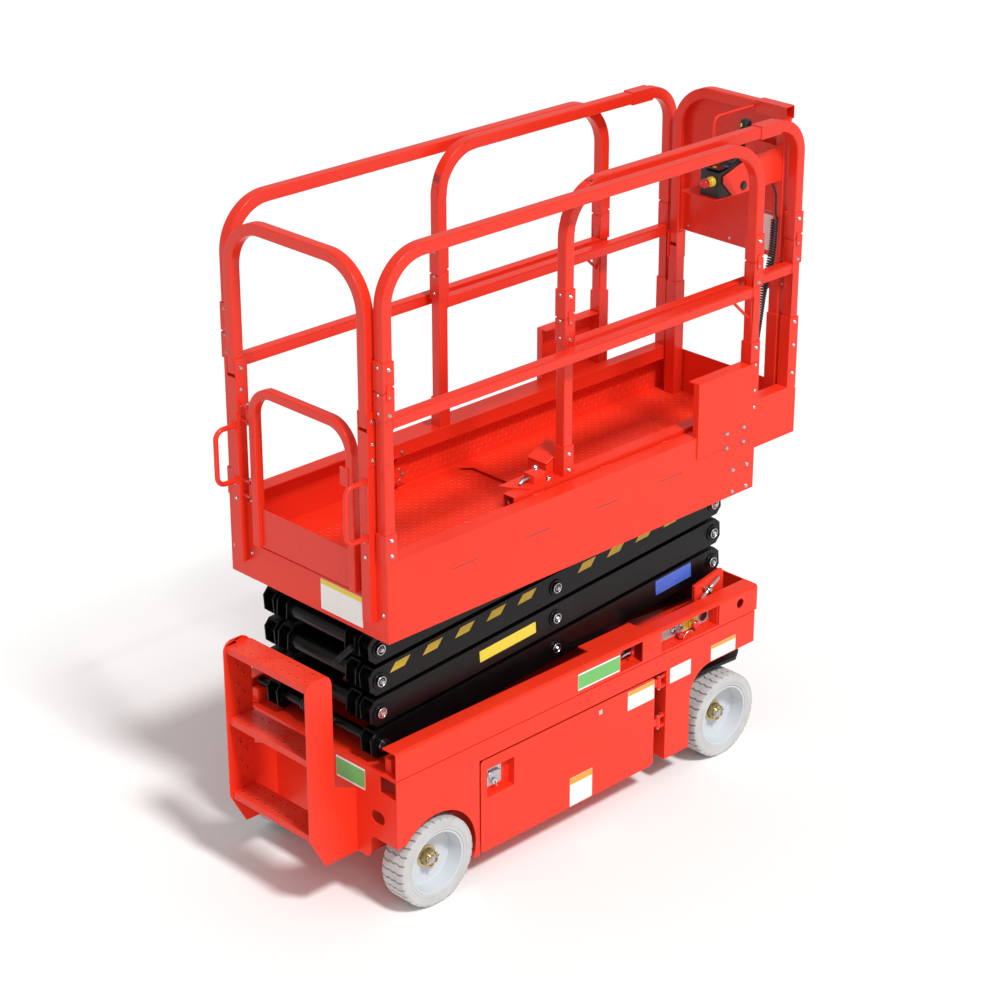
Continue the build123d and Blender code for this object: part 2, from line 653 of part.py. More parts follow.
def make_tray_load():
    """Plain block standing on the left tray's floor: the heavy contents of the bay."""
    floor = BELLY_Z + TRAY_FLOOR_LIFT + TRAY_SHEET
    y_in = CHASSIS_HALF - TRAY_DEPTH + LOAD_INSET
    y_out = CHASSIS_HALF - SKIN - LATCH_DEPTH - LOAD_INSET
    return block((TRAY_REAR + 20, DOOR_FRONT - 20), (y_in, y_out), (floor, floor + LOAD_HEIGHT))


def make_ladder():
    """Entry ladder on the rear plate: two stringers with bent tops and three perforated steps."""
    outline = Polyline((CHASSIS_REAR, LADDER_FOOT_TOP), (CHASSIS_REAR, LADDER_BOTTOM),
                       (LADDER_REAR + 60, LADDER_BOTTOM), (LADDER_REAR, LADDER_BOTTOM + 110),
                       (LADDER_REAR, LADDER_TOP), (LADDER_FRONT, LADDER_TOP),
                       (LADDER_FRONT, LADDER_FOOT_TOP + 40), close=True)
    face = make_face(outline)
    face = fillet(face.vertices().filter_by_position(Axis.Y, LADDER_TOP - 1, LADDER_TOP + 1), LADDER_CORNER + 10)
    ladder = None
    for y in LADDER_Y:
        side = sheet_xz(face, y - LADDER_SHEET / 2, y + LADDER_SHEET / 2)
        ladder = side if ladder is None else ladder + side
    for z in STEP_Z:
        ladder += make_step(z)
    return ladder


def make_step(z):
    """Folded step with a row of holes, between the stringers."""
    y_span = (LADDER_Y[0] + LADDER_SHEET / 2, LADDER_Y[1] - LADDER_SHEET / 2)
    x_span = (LADDER_REAR + 8, LADDER_FRONT - 4)
    step = block(x_span, y_span, (z - STEP_SHEET, z))
    step += block((x_span[0], x_span[0] + STEP_SHEET), y_span, (z - STEP_LIP, z))
    pitch = (y_span[1] - y_span[0]) / STEP_HOLES
    for index in range(STEP_HOLES):
        y = y_span[0] + (index + 0.5) * pitch
        step -= rod_z(sum(x_span) / 2 + 2, y, STEP_HOLE / 2, z - STEP_SHEET - 1, z + 1)
    return step


# ---------------------------------------------------------------- scissor stack
def arm_tube(y_middle):
    """One hollow arm tube about its own centre, along X, its end corners cut."""
    half = ARM_LENGTH / 2 + ARM_OVERHANG
    high = ARM_HEIGHT / 2
    side = Rectangle(2 * half, ARM_HEIGHT)
    side = chamfer(side.vertices(), ARM_CHAMFER)
    tube = sheet_xz(side, y_middle - ARM_WIDTH / 2, y_middle + ARM_WIDTH / 2)
    inside = block((-half - 1, half + 1), (y_middle - ARM_WIDTH / 2 + ARM_WALL, y_middle + ARM_WIDTH / 2 - ARM_WALL),
                   (ARM_WALL - high, high - ARM_WALL))
    return tube - inside


def arm_place(stage, rising):
    """Place of a stage's arm centre; rising arms climb towards +X."""
    z = (level_z(stage - 1) + level_z(stage)) / 2
    return Pos(PIN_MID_X, 0, z) * Rot(0, -ARM_ANGLE if rising else ARM_ANGLE, 0)


def make_outer_arm(stage):
    """Outer pair of a stage, rising to the front, with the through pins it carries."""
    half = ARM_LENGTH / 2
    pair = arm_tube(OUTER_Y) + arm_tube(-OUTER_Y)
    for y in (OUTER_Y, -OUTER_Y):
        pair -= rod_y(0, 0, PIN_DIAMETER / 2 + PIN_FIT, y - ARM_WIDTH, y + ARM_WIDTH)
    pair += rod_y(-half, 0, PIN_DIAMETER / 2, -PIN_HEAD_Y, PIN_HEAD_Y)
    if stage == 1:
        pair += rod_y(-half, 0, SLIDE_END_RADIUS, -SLIDE_HALF, SLIDE_HALF)
    if stage < STAGES:
        return arm_place(stage, True) * (pair + rod_y(half, 0, PIN_DIAMETER / 2, -PIN_HEAD_Y, PIN_HEAD_Y))
    for y in (OUTER_Y, -OUTER_Y):
        pair -= rod_y(half, 0, PIN_DIAMETER / 2 + PIN_FIT, y - ARM_WIDTH, y + ARM_WIDTH)
    return arm_place(stage, True) * (pair + hollow_cross(half, OUTER_Y - ARM_WIDTH / 2 + 1, PIN_FIT))


def hollow_cross(along, reach, fit):
    """Cross tube between a pair, bored for its pin."""
    cross = rod_y(along, 0, CROSS_TUBE / 2, -reach, reach)
    return cross - rod_y(along, 0, PIN_DIAMETER / 2 + fit, -reach - 1, reach + 1)


def make_inner_arm(stage):
    """Inner pair of a stage, rising to the rear, with cross tubes at both ends."""
    half = ARM_LENGTH / 2
    pair = arm_tube(INNER_Y) + arm_tube(-INNER_Y)
    inner_face = INNER_Y - ARM_WIDTH / 2
    front_fit = PIN_FIT if stage % 2 == 1 else OPEN_PIN_FIT
    rear_fit = OPEN_PIN_FIT
    ends = [(half, front_fit)]
    if stage < STAGES:
        ends.append((-half, rear_fit))
    else:
        pair += rod_y(-half, 0, PIN_DIAMETER / 2, 40 - SLIDE_HALF, SLIDE_HALF - 40)
    for along, fit in ends:
        for y in (INNER_Y, -INNER_Y):
            pair -= rod_y(along, 0, PIN_DIAMETER / 2 + fit, y - ARM_WIDTH / 2 - 1, y + ARM_WIDTH / 2 + 1)
        pair += hollow_cross(along, inner_face + 1, fit)
    for side in (1, -1):
        pair += rod_y(0, 0, PIN_DIAMETER / 2, side * (inner_face + 2), side * PIN_HEAD_Y)
    if stage == 1:
        pair += make_lugs(FOOT_ALONG, FOOT_OFF)
        pair += rod_y(FOOT_ALONG, FOOT_OFF, EYE_PIN / 2, -inner_face, inner_face)
    if stage == 2:
        pair += make_lugs(EYE_ALONG, EYE_OFF)
    return arm_place(stage, False) * pair


def make_lugs(along, off):
    """Two plates on the inner tubes' inside faces that hold a cylinder eye's pin."""
    inner_face = INNER_Y - ARM_WIDTH / 2
    edge = 26
    z_span = (-10, off + edge) if off > 0 else (off - edge, 10)
    lug = Pos(along, sum(z_span) / 2) * Rectangle(2 * LUG_REACH, z_span[1] - z_span[0])
    free = lug.vertices().group_by(Axis.Y)[-1 if off > 0 else 0]
    lug = fillet(free, edge)
    lug_out = inner_face - LUG_SIDE_GAP
    left = sheet_xz(lug, lug_out - LUG_THICK, lug_out)
    left += block((along - LUG_REACH, along + LUG_REACH), (lug_out, inner_face), (10 - ARM_HEIGHT / 2, ARM_HEIGHT / 2 - 10))
    return left + mirror_y(left)


def cylinder_points():
    """Foot and rod-eye pin centres in the machine frame, platform lowered."""
    foot = arm_place(1, False) * Pos(FOOT_ALONG, 0, FOOT_OFF)
    eye = arm_place(2, False) * Pos(EYE_ALONG, 0, EYE_OFF)
    return foot.position, eye.position


def make_cylinder():
    """Barrel with its foot eye, and rod with its eye and pin, along the line between the two pins."""
    foot, eye = cylinder_points()
    length = (eye - foot).length
    tilt = degrees(asin((eye.Z - foot.Z) / length))
    place = Pos(foot.X, 0, foot.Z) * Rot(0, -tilt, 0)
    along_x = Rot(0, 90, 0)
    barrel_end = length - BARREL_SHORT
    barrel = rod_y(0, 0, EYE_DIAMETER / 2, -EYE_WIDTH / 2, EYE_WIDTH / 2)
    barrel += Pos((barrel_end + 20) / 2, 0, 0) * along_x * Cylinder(BARREL_DIAMETER / 2, barrel_end - 20)
    barrel += Pos(barrel_end - 14, 0, 0) * along_x * Cylinder(BARREL_DIAMETER / 2 + 5, 28)
    barrel -= rod_y(0, 0, EYE_PIN / 2 + PIN_FIT, -EYE_WIDTH, EYE_WIDTH)
    bore_from = BARREL_BORE_FROM
    bore = Cylinder(ROD_DIAMETER / 2 + ROD_BORE_FIT, length - bore_from)
    barrel -= Pos((bore_from + length) / 2, 0, 0) * along_x * bore
    rod = Pos((bore_from + 6 + length) / 2, 0, 0) * along_x * Cylinder(ROD_DIAMETER / 2, length - bore_from - 6)
    rod += rod_y(length, 0, EYE_DIAMETER / 2, -EYE_WIDTH / 2, EYE_WIDTH / 2)
    pin_half = INNER_Y - ARM_WIDTH / 2 - LUG_THICK - 2 * LUG_SIDE_GAP
    rod += rod_y(length, 0, EYE_PIN / 2, -pin_half, pin_half)
    return place * barrel, place * rod


# ---------------------------------------------------------------- steering
def make_knuckle():
    """Left steering knuckle: yoke round the kingpin tube, spindle, roof plate and steering arm."""
    x = FRONT_WHEEL_X
    plate_y = (KINGPIN_Y + 22, KINGPIN_Y + 22 + KNUCKLE_THICK)
    knuckle = block((x - KNUCKLE_HALF, x + KNUCKLE_HALF), plate_y, (KINGPIN_Z[0], KNUCKLE_ARM_TOP))
    for z in KNUCKLE_YOKE_Z:
        knuckle += block((x - KNUCKLE_YOKE, x + KNUCKLE_YOKE), (KINGPIN_Y - 28, plate_y[0]), z)
    knuckle += rod_z(x, KINGPIN_Y, KINGPIN_DIAMETER / 2, *KINGPIN_Z)
    roof = Polyline((x - 78, KINGPIN_Y + 22), (x - 78, KINGPIN_Y + 22 + KNUCKLE_ROOF_SIDE), (x + 96, KINGPIN_Y + 100),
                    (x + KNUCKLE_ROOF_FRONT, KINGPIN_Y + 70), (x + KNUCKLE_ROOF_FRONT, KINGPIN_Y + 4),
                    (x + STEER_ARM_REACH, KINGPIN_Y - STEER_EYE_RADIUS), (x + 40, KINGPIN_Y - STEER_EYE_RADIUS),
                    (x + KNUCKLE_YOKE, KINGPIN_Y - 28), (x - KNUCKLE_YOKE, KINGPIN_Y - 28), close=True)
    roof_z = KNUCKLE_ARM_TOP - KNUCKLE_ARM_THICK
    knuckle += Pos(0, 0, roof_z) * extrude(make_face(roof), KNUCKLE_ARM_THICK)
    pin_top = KNUCKLE_ARM_TOP + TIE_ROD_LIFT + TIE_EYE_THICK
    knuckle += rod_z(x + STEER_ARM_REACH, KINGPIN_Y, STEER_PIN_RADIUS, roof_z, pin_top + 3)
    return knuckle + hub_end(x, plate_y[0] + 5)


def make_tie_rod():
    """Rod between the two steering arms, with an eye at each end."""
    x = FRONT_WHEEL_X + STEER_ARM_REACH
    low = KNUCKLE_ARM_TOP + TIE_ROD_LIFT
    z = low + TIE_EYE_THICK / 2
    reach = KINGPIN_Y - TIE_EYE_RADIUS + 2
    rod = rod_y(x, z, TIE_ROD_RADIUS - 1.5, -reach, reach)
    for side, fit in ((1, PIN_FIT), (-1, OPEN_PIN_FIT)):
        rod += rod_z(x, side * KINGPIN_Y, TIE_EYE_RADIUS, low, low + TIE_EYE_THICK)
        rod -= rod_z(x, side * KINGPIN_Y, STEER_PIN_RADIUS + fit, low - 1, low + TIE_EYE_THICK + 1)
    return rod


def make_rear_axle():
    """Both rear spindles with their flanges and nuts, bolted to the tail."""
    spindle = hub_end(REAR_WHEEL_X, TAIL_HALF + 16)
    spindle += rod_y(REAR_WHEEL_X, WHEEL_RADIUS, 46, TAIL_HALF + 16, TAIL_HALF + 30)
    return both_sides(spindle)


# ---------------------------------------------------------------- platform
def make_platform_floor():
    """Floor plate with its end plates, the pivot plates and the extension's slide pads."""
    skin_in = DECK_HALF - SILL_SHEET
    return_in = DECK_HALF - SILL_RETURN
    rear = DECK_REAR + SILL_SHEET
    floor = block((rear, DECK_FRONT), (-skin_in, skin_in), (FLOOR_TOP - FLOOR_PLATE, FLOOR_TOP))
    floor += block((DECK_REAR, rear), (-return_in, return_in), REAR_SILL_Z)
    floor += block((DECK_FRONT - SILL_SHEET, DECK_FRONT), (-skin_in, skin_in), (FLOOR_TOP - 34, FLOOR_TOP))
    left = block((EXT_TUBE_REAR, EXT_PAD_FRONT), (EXT_HALF - 10 - EXT_PAD_WIDTH, EXT_HALF - 10),
                 (FLOOR_TOP - 1, EXT_PLATE_Z - EXT_PAD_GAP))
    pin_z = level_z(STAGES)
    left += plate_xz([(PIN_FRONT_X - PIVOT_PLATE_TOP, FLOOR_TOP - 2),
                      (PIN_FRONT_X - PIVOT_PLATE_FOOT, pin_z - PIVOT_PLATE_DROP),
                      (PIN_FRONT_X + PIVOT_PLATE_FOOT, pin_z - PIVOT_PLATE_DROP),
                      (PIN_FRONT_X + PIVOT_PLATE_TOP, FLOOR_TOP - 2)], PIN_HEAD_Y - 3, PIN_HEAD_Y + 9)
    left += rod_y(PIN_FRONT_X, pin_z, PIN_DIAMETER / 2, INNER_Y - PIN_HEAD, PIN_HEAD_Y + 5)
    return floor + left + mirror_y(left)


def make_platform_tracks():
    """Channels under the floor, open towards the middle, that take the upper slide shaft."""
    x_span = (DECK_REAR + SILL_SHEET, CHANNEL_FRONT)
    track = block(x_span, CHANNEL_Y, (CHANNEL_Z[1], FLOOR_TOP - FLOOR_PLATE))
    track += block(x_span, (CHANNEL_Y[1] - CHANNEL_SHEET, CHANNEL_Y[1]), (CHANNEL_Z[0], CHANNEL_Z[1] + 1))
    track += block(x_span, CHANNEL_Y, (CHANNEL_Z[0], CHANNEL_Z[0] + CHANNEL_SHEET))
    return both_sides(track)


def make_platform_sills():
    """Side sills with folded edges and a return at the rear corner."""
    inner = DECK_HALF - SILL_SHEET
    sill = block((DECK_REAR, DECK_FRONT), (inner, DECK_HALF), (SILL_BOTTOM, SILL_TOP))
    sill += block((DECK_REAR, DECK_FRONT), (DECK_HALF - SILL_FLANGE, DECK_HALF), (SILL_TOP - SILL_SHEET, SILL_TOP))
    sill += block((DECK_REAR, DECK_FRONT), (DECK_HALF - SILL_FOOT, DECK_HALF), (SILL_BOTTOM, SILL_BOTTOM + SILL_SHEET))
    sill += block((DECK_REAR, DECK_REAR + SILL_SHEET), (DECK_HALF - SILL_RETURN, DECK_HALF), (SILL_BOTTOM, SILL_TOP))
    rear = sill.edges().filter_by(Axis.Z).group_by(Axis.X)[0].sort_by(Axis.Y)[-1]
    sill = fillet(rear, SILL_SHEET - 1)
    return both_sides(sill)


def make_bulkheads():
    """Raised side plates at the front of the platform, with a rear return and a top flange."""
    y_span = (DECK_HALF, DECK_HALF + SILL_SHEET)
    plate = block((BULKHEAD_REAR, DECK_FRONT), y_span, (BULKHEAD_BOTTOM, BULKHEAD_TOP))
    plate += block((BULKHEAD_REAR, BULKHEAD_REAR + SILL_SHEET), (y_span[1] - BULKHEAD_RETURN, y_span[1]),
                   (SILL_TOP, BULKHEAD_TOP))
    plate += block((BULKHEAD_REAR, DECK_FRONT - BULKHEAD_NOTCH), (y_span[1] - BULKHEAD_FLANGE, y_span[1]),
                   (BULKHEAD_TOP - SILL_SHEET, BULKHEAD_TOP))
    return both_sides(plate)


# ---------------------------------------------------------------- guard rails
def split_bracket(x, y, z_span):
    """Sleeve round a post in two halves, parted by a slanted slot."""
    side = TUBE / 2 + BRACKET_SHEET
    bracket = sleeve(x, y, *z_span)
    slot = plate_xz([(x - side - 1, SPLIT_Z - SPLIT_SLANT), (x - side - 1, SPLIT_Z + SPLIT_GAP - SPLIT_SLANT),
                     (x + side + 1, SPLIT_Z + SPLIT_GAP + SPLIT_SLANT), (x + side + 1, SPLIT_Z + SPLIT_SLANT)],
                    y - side - 1, y + side + 1)
    return bracket - slot


def make_side_rail():
    """Left main guard rail: bent top tube, mid rail, brackets, sockets and a corner brace."""
    y = SIDE_RAIL_Y
    x_rear = SIDE_RAIL_REAR
    x_front = SIDE_RAIL_FRONT
    top = RAIL_TOP_Z - TUBE / 2
    foot = SILL_TOP + SOCKET_SEAT
    rail = bent_tube([(x_rear, y, foot), (x_rear, y, top), (x_front, y, top), (x_front, y, foot)],
                     RAIL_BEND, (0, 1, 0))
    rail += straight_tube((x_rear, y, MID_RAIL_Z), (x_front, y, MID_RAIL_Z), (0, 1, 0), size=TUBE - 2)
    rail += split_bracket(x_rear, y, BRACKET_Z) + split_bracket(x_front, y, BRACKET_Z)
    rail += sleeve(x_rear, y, SILL_TOP, SOCKET_REAR_TOP) + sleeve(x_front, y, SILL_TOP, SOCKET_FRONT_TOP)
    rail += straight_rod((x_front - BRACE_RUN, y, MID_RAIL_Z - TUBE / 2 + 3),
                         (x_front - TUBE / 2 + 3, y, MID_RAIL_Z - TUBE / 2 - BRACE_DROP), BRACE_RADIUS)
    return rail


def make_rear_rail_lower():
    """Fixed rear posts with the hoop's hinge ears, the gate's hinge pins and the grab handles."""
    x = REAR_RAIL_X
    y = REAR_RAIL_Y
    half = TUBE / 2
    ear_x = (x - half, x + half + 8)
    ear_z = (REAR_HINGE_Z - 140, REAR_HINGE_Z + 30)
    post_top = REAR_HINGE_Z - 30
    post = block((x - half, DECK_REAR), (y - half, y + half), (REAR_POST_FOOT, post_top))
    post += block((DECK_REAR, x + half), (y - half, y + half), (SILL_TOP, post_top))
    for side in (1, -1):
        post += block(ear_x, (y + side * half, y + side * (half + BRACKET_SHEET)), ear_z)
    post += rod_y(x, REAR_HINGE_Z, HINGE_BOLT, y - half - BRACKET_SHEET, y + half + BRACKET_SHEET)
    reach = x - half - GRAB_REACH
    handle = [(x - half + 5, y, GRAB_Z[0]), (reach, y, GRAB_Z[0]), (reach, y, GRAB_Z[1]), (x - half + 5, y, GRAB_Z[1])]
    post += bent_rod(handle, GRAB_BEND, GRAB_RADIUS)
    right = mirror_y(post)
    for z in GATE_HINGE_Z:
        for lug_z in ((z - GATE_LUG_HALF, z - GATE_BARREL_HALF - 1), (z + GATE_BARREL_HALF + 1, z + GATE_LUG_HALF)):
            post += block((x - 8, x + 8), (GATE_HINGE_Y, y - half), lug_z)
        post += rod_z(x, GATE_HINGE_Y, GATE_PIN_RADIUS, z - GATE_LUG_HALF - 4, z + GATE_LUG_HALF + 4)
    return Compound([post, right])


def make_rear_rail_upper():
    """Folding rear hoop above the entry."""
    top = REAR_RAIL_TOP_Z - TUBE / 2
    low = REAR_HINGE_Z - TUBE / 2
    hoop = bent_tube([(REAR_RAIL_X, -REAR_RAIL_Y, low), (REAR_RAIL_X, -REAR_RAIL_Y, top),
                      (REAR_RAIL_X, REAR_RAIL_Y, top), (REAR_RAIL_X, REAR_RAIL_Y, low)],
                     RAIL_BEND, (1, 0, 0), size=TUBE - 1)
    return hoop - rod_y(REAR_RAIL_X, REAR_HINGE_Z, HINGE_BOLT + PIN_FIT, -REAR_RAIL_Y - TUBE, REAR_RAIL_Y + TUBE)


def make_gate():
    """Entry gate: inverted hoop with a kick panel and its hinge barrels."""
    x = REAR_RAIL_X
    top = GATE_TOP_Z - GATE_TUBE / 2
    gate = bent_tube([(x, GATE_RIGHT, GATE_BOTTOM_Z), (x, GATE_RIGHT, top), (x, GATE_LEFT, top),
                      (x, GATE_LEFT, GATE_BOTTOM_Z)], GATE_BEND, (1, 0, 0), size=GATE_TUBE)
    gate += block((x - 2, x + 2), (GATE_RIGHT, GATE_LEFT), (GATE_BOTTOM_Z, SILL_TOP))
    for z in GATE_HINGE_Z:
        z_span = (z - GATE_BARREL_HALF, z + GATE_BARREL_HALF)
        barrel = rod_z(x, GATE_HINGE_Y, GATE_HINGE_RADIUS, *z_span)
        barrel += block((x - 4, x + 4), (GATE_LEFT, GATE_HINGE_Y), z_span)
        gate += barrel - rod_z(x, GATE_HINGE_Y, GATE_PIN_RADIUS + PIN_FIT, z_span[0] - 1, z_span[1] + 1)
    return gate


# ---------------------------------------------------------------- extension deck
def make_extension_deck():
    """Sliding floor plate with its rear side strips and the front board."""
    strip = EXT_HALF - EXT_STRIP_WIDTH
    outline = [(EXT_FRONT, -EXT_HALF), (EXT_FRONT, EXT_HALF), (EXT_STRIP_REAR, EXT_HALF), (EXT_STRIP_REAR, strip),
               (EXT_PLATE_REAR - EXT_CHAMFER, strip), (EXT_PLATE_REAR, strip - EXT_CHAMFER),
               (EXT_PLATE_REAR, EXT_CHAMFER - strip), (EXT_PLATE_REAR - EXT_CHAMFER, -strip),
               (EXT_STRIP_REAR, -strip), (EXT_STRIP_REAR, -EXT_HALF)]
    face = make_face(Polyline(*outline, close=True))
    deck = Pos(0, 0, EXT_PLATE_Z) * extrude(face, EXT_PLATE)
    board = block((EXT_FRONT - EXT_SHEET, EXT_FRONT), (-EXT_HALF, EXT_HALF), (EXT_PLATE_Z, SILL_TOP))
    return deck + board


def make_extension_sides():
    """Toe boards of the extension with the square slide tubes and the rail sockets on them."""
    outer = EXT_HALF
    z_low = EXT_PLATE_Z + EXT_PLATE
    x_front = EXT_FRONT - EXT_SHEET
    tube_y = (outer - EXT_TUBE, outer)
    tube_z = (EXT_TUBE_TOP - EXT_TUBE, EXT_TUBE_TOP)
    wall = EXT_TUBE_WALL
    left = block((EXT_STRIP_REAR, x_front), (outer - EXT_SHEET, outer), (z_low, tube_z[0] + 1))
    left += block((EXT_TUBE_REAR, x_front), tube_y, tube_z)
    left -= block((EXT_TUBE_REAR - 1, x_front - 20), (tube_y[0] + wall, tube_y[1] - wall),
                  (tube_z[0] + wall, tube_z[1] - wall))
    socket_low = EXT_TUBE_TOP
    left += sleeve(EXT_RAIL_REAR, EXT_RAIL_Y, socket_low, socket_low + EXT_SOCKET)
    left += sleeve(EXT_POST_X - BRACKET_SHEET, EXT_RAIL_Y, socket_low, EXT_SOCKET_FRONT_TOP)
    left -= rod_socket(EXT_RAIL_REAR, EXT_RAIL_Y, socket_low)
    left -= rod_socket(EXT_POST_X - BRACKET_SHEET, EXT_RAIL_Y, socket_low)
    return both_sides(left)


def rod_socket(x, y, z_low):
    """Square hole of a rail socket, from its floor up."""
    half = TUBE / 2
    return block((x - half, x + half), (y - half, y + half), (z_low, EXT_SOCKET_FRONT_TOP + 1))


def make_extension_rail():
    """Left guard rail of the extension, standing in its sockets."""
    y = EXT_RAIL_Y
    x_front = EXT_POST_X - BRACKET_SHEET
    top = EXT_RAIL_TOP_Z - TUBE / 2
    foot = EXT_TUBE_TOP
    rail = bent_tube([(EXT_RAIL_REAR, y, foot), (EXT_RAIL_REAR, y, top), (x_front, y, top), (x_front, y, foot)],
                     (RAIL_BEND, EXT_FRONT_BEND), (0, 1, 0))
    rail += straight_tube((EXT_RAIL_REAR, y, MID_RAIL_Z), (x_front, y, MID_RAIL_Z), (0, 1, 0), size=TUBE - 2)
    rail += split_bracket(EXT_RAIL_REAR, y, BRACKET_Z) + split_bracket(x_front, y, BRACKET_Z)
    side = TUBE / 2 + BRACKET_SHEET
    rail += block(EXT_SLEEVE_X, (y - side, y + side), (top - side, top + side))
    return rail


def make_front_posts():
    """Fixed posts of the front guard rail, in sockets, with their hinge ears and pins."""
    x = FRONT_RAIL_X
    half = TUBE / 2
    y = FRONT_RAIL_Y
    z_low = EXT_PLATE_Z + EXT_PLATE
    post = block((x - half, x + half), (y - half, y + half), (z_low, FRONT_HINGE_Z - 30))
    post += sleeve(x, y, z_low, EXT_SOCKET_FRONT_TOP)
    for side in (1, -1):
        ear_y = (y + side * half, y + side * (half + BRACKET_SHEET))
        post += block((x - half - 6, x + half), ear_y, (FRONT_HINGE_Z - 75, FRONT_HINGE_Z + 22))
    post += rod_y(x, FRONT_HINGE_Z, HINGE_BOLT, y - half - BRACKET_SHEET, y + half + BRACKET_SHEET)
    return both_sides(post)


def make_front_rail():
    """Front rail: bent on the left, a sleeve on the right, with its sheet panel."""
    x = FRONT_RAIL_X
    y = FRONT_RAIL_Y
    top = FRONT_RAIL_TOP_Z - TUBE / 2
    low = FRONT_HINGE_Z - TUBE / 2
    side = TUBE / 2 + BRACKET_SHEET
    rail = bent_tube([(x, y, low), (x, y, top), (x, -y - side, top)], RAIL_BEND, (1, 0, 0), size=TUBE - 1)
    rail += straight_tube((x, -y, low), (x, -y, top), (1, 0, 0), size=TUBE - 2)
    rail += block((x - side, x + side), (-y - side, FRONT_SLEEVE - y - side), (top - side, top + side))
    rail -= block((x - TUBE / 2, x + TUBE / 2), (-y - side - 1, -y - side + 30), (top - TUBE / 2, top + TUBE / 2))
    sheet_x = (x + TUBE / 2 - PANEL_SHEET - 3, x + TUBE / 2 - 3)
    panel = make_face(Polyline((-y, PANEL_BOTTOM_Z), (y, PANEL_BOTTOM_Z), (y, top), (-y, top), close=True))
    panel = fillet(panel.vertices().sort_by(Axis.X)[-2:].sort_by(Axis.Y)[-1], RAIL_BEND)
    rail += sheet_yz(panel, *sheet_x)
    rail -= rod_y(x, FRONT_HINGE_Z, HINGE_BOLT + PIN_FIT, -y - TUBE, y + TUBE)
    return rail


def make_control_bracket():
    """Tray with a cheek plate that carries the control box behind the front rail, and its guard rod."""
    cheek_y = (TRAY_Y[0] - CHEEK_SHEET, TRAY_Y[0])
    floor_z = (BOX_FLOOR - CHEEK_SHEET, BOX_FLOOR)
    rear, front = CHEEK_X
    cheek = Polyline((rear, BOX_FLOOR + 50), (rear + 50, floor_z[0]), (front, floor_z[0]), (front, CHEEK_TOP + 9),
                     (rear + 120, CHEEK_TOP), (rear, BOX_FLOOR + 72), close=True)
    plate = make_face(cheek) - Pos(rear + 100, BOX_FLOOR + 22) * Circle(CHEEK_HOLE)
    bracket = sheet_xz(plate, *cheek_y)
    bracket += block((rear - 30, front - TRAY_SLIT), TRAY_Y, floor_z)
    bracket += block((front - CHEEK_SHEET, front), TRAY_Y, (floor_z[0], CHEEK_TOP))
    rail_face = FRONT_RAIL_X - TUBE / 2 + 0.5
    rail_z = FRONT_RAIL_TOP_Z - TUBE / 2
    guard = [(rail_face, GUARD_Y, rail_z), (GUARD_X, GUARD_Y, rail_z), (GUARD_X, GUARD_Y, floor_z[0])]
    return bracket + bent_rod(guard, GUARD_BEND, GUARD_ROD)


def make_control_box():
    """Operator's control box with a sloped top towards the rear."""
    outline = [(BOX_X[0], BOX_FLOOR), (BOX_X[1], BOX_FLOOR), (BOX_X[1], BOX_FLOOR + BOX_HEIGHT + BOX_SLOPE),
               (BOX_X[1] - 60, BOX_FLOOR + BOX_HEIGHT + BOX_SLOPE), (BOX_X[0] + 70, BOX_FLOOR + BOX_HEIGHT), (BOX_X[0], BOX_FLOOR + BOX_HEIGHT - 8)]
    box = plate_xz(outline, *BOX_Y)
    return fillet(box.edges().filter_by(Axis.Z), 8)


def cord_route():
    """Points of the control cord: upper run, coil and lower run."""
    x = FRONT_RAIL_X - TUBE + 6
    y = BOX_Y[0] + 7
    z = BOX_FLOOR
    upper = [(BOX_X[1], y + 13, z + 22), (x - 30, y + 13, z + 22), (x - 1, y - 6, z - 40), (x - 7, y - 8, z - 132)]
    coil = [upper[-1], (x - 16, y - 11, z - 262), (x - 54, y - 10, z - 370), (x - 70, y - 11, z - 472),
            (x - 92, y - 7, z - 620)]
    lower = [coil[-1], (x - 101, y - 5, z - 679), (x - 101, y - 5, CORD_PLUG_TOP)]
    return upper, coil, lower


def make_control_cord():
    """Thin runs of the control cord above and below its coil."""
    upper, _, lower = cord_route()
    return Compound([bent_rod(upper, CORD_BEND, CORD_RADIUS), bent_rod(lower, CORD_BEND, CORD_RADIUS)])


def make_cord_coil():
    """Coiled stretch of the control cord, as one round bar of its outer size."""
    _, coil, _ = cord_route()
    path = FilletPolyline(*coil, radius=CORD_BEND)
    middle = path.trim(COIL_GAP, 1 - COIL_GAP)
    return sweep(Plane(origin=middle @ 0, z_dir=middle % 0) * Circle(COIL_RADIUS), path=middle)


def make_cord_socket():
    """Socket of the control cord on the inside of the extension's toe board."""
    *_, end = cord_route()[2]
    wide, deep, high = CORD_PLUG
    inner = EXT_TUBE - EXT_HALF
    plug = Pos(end[0], end[1], CORD_PLUG_TOP - high / 2) * Box(wide, deep, high)
    return plug + block((end[0] - wide / 2, end[0] + wide / 2), (inner, end[1]), (CORD_PLUG_TOP - high, CORD_PLUG_TOP))


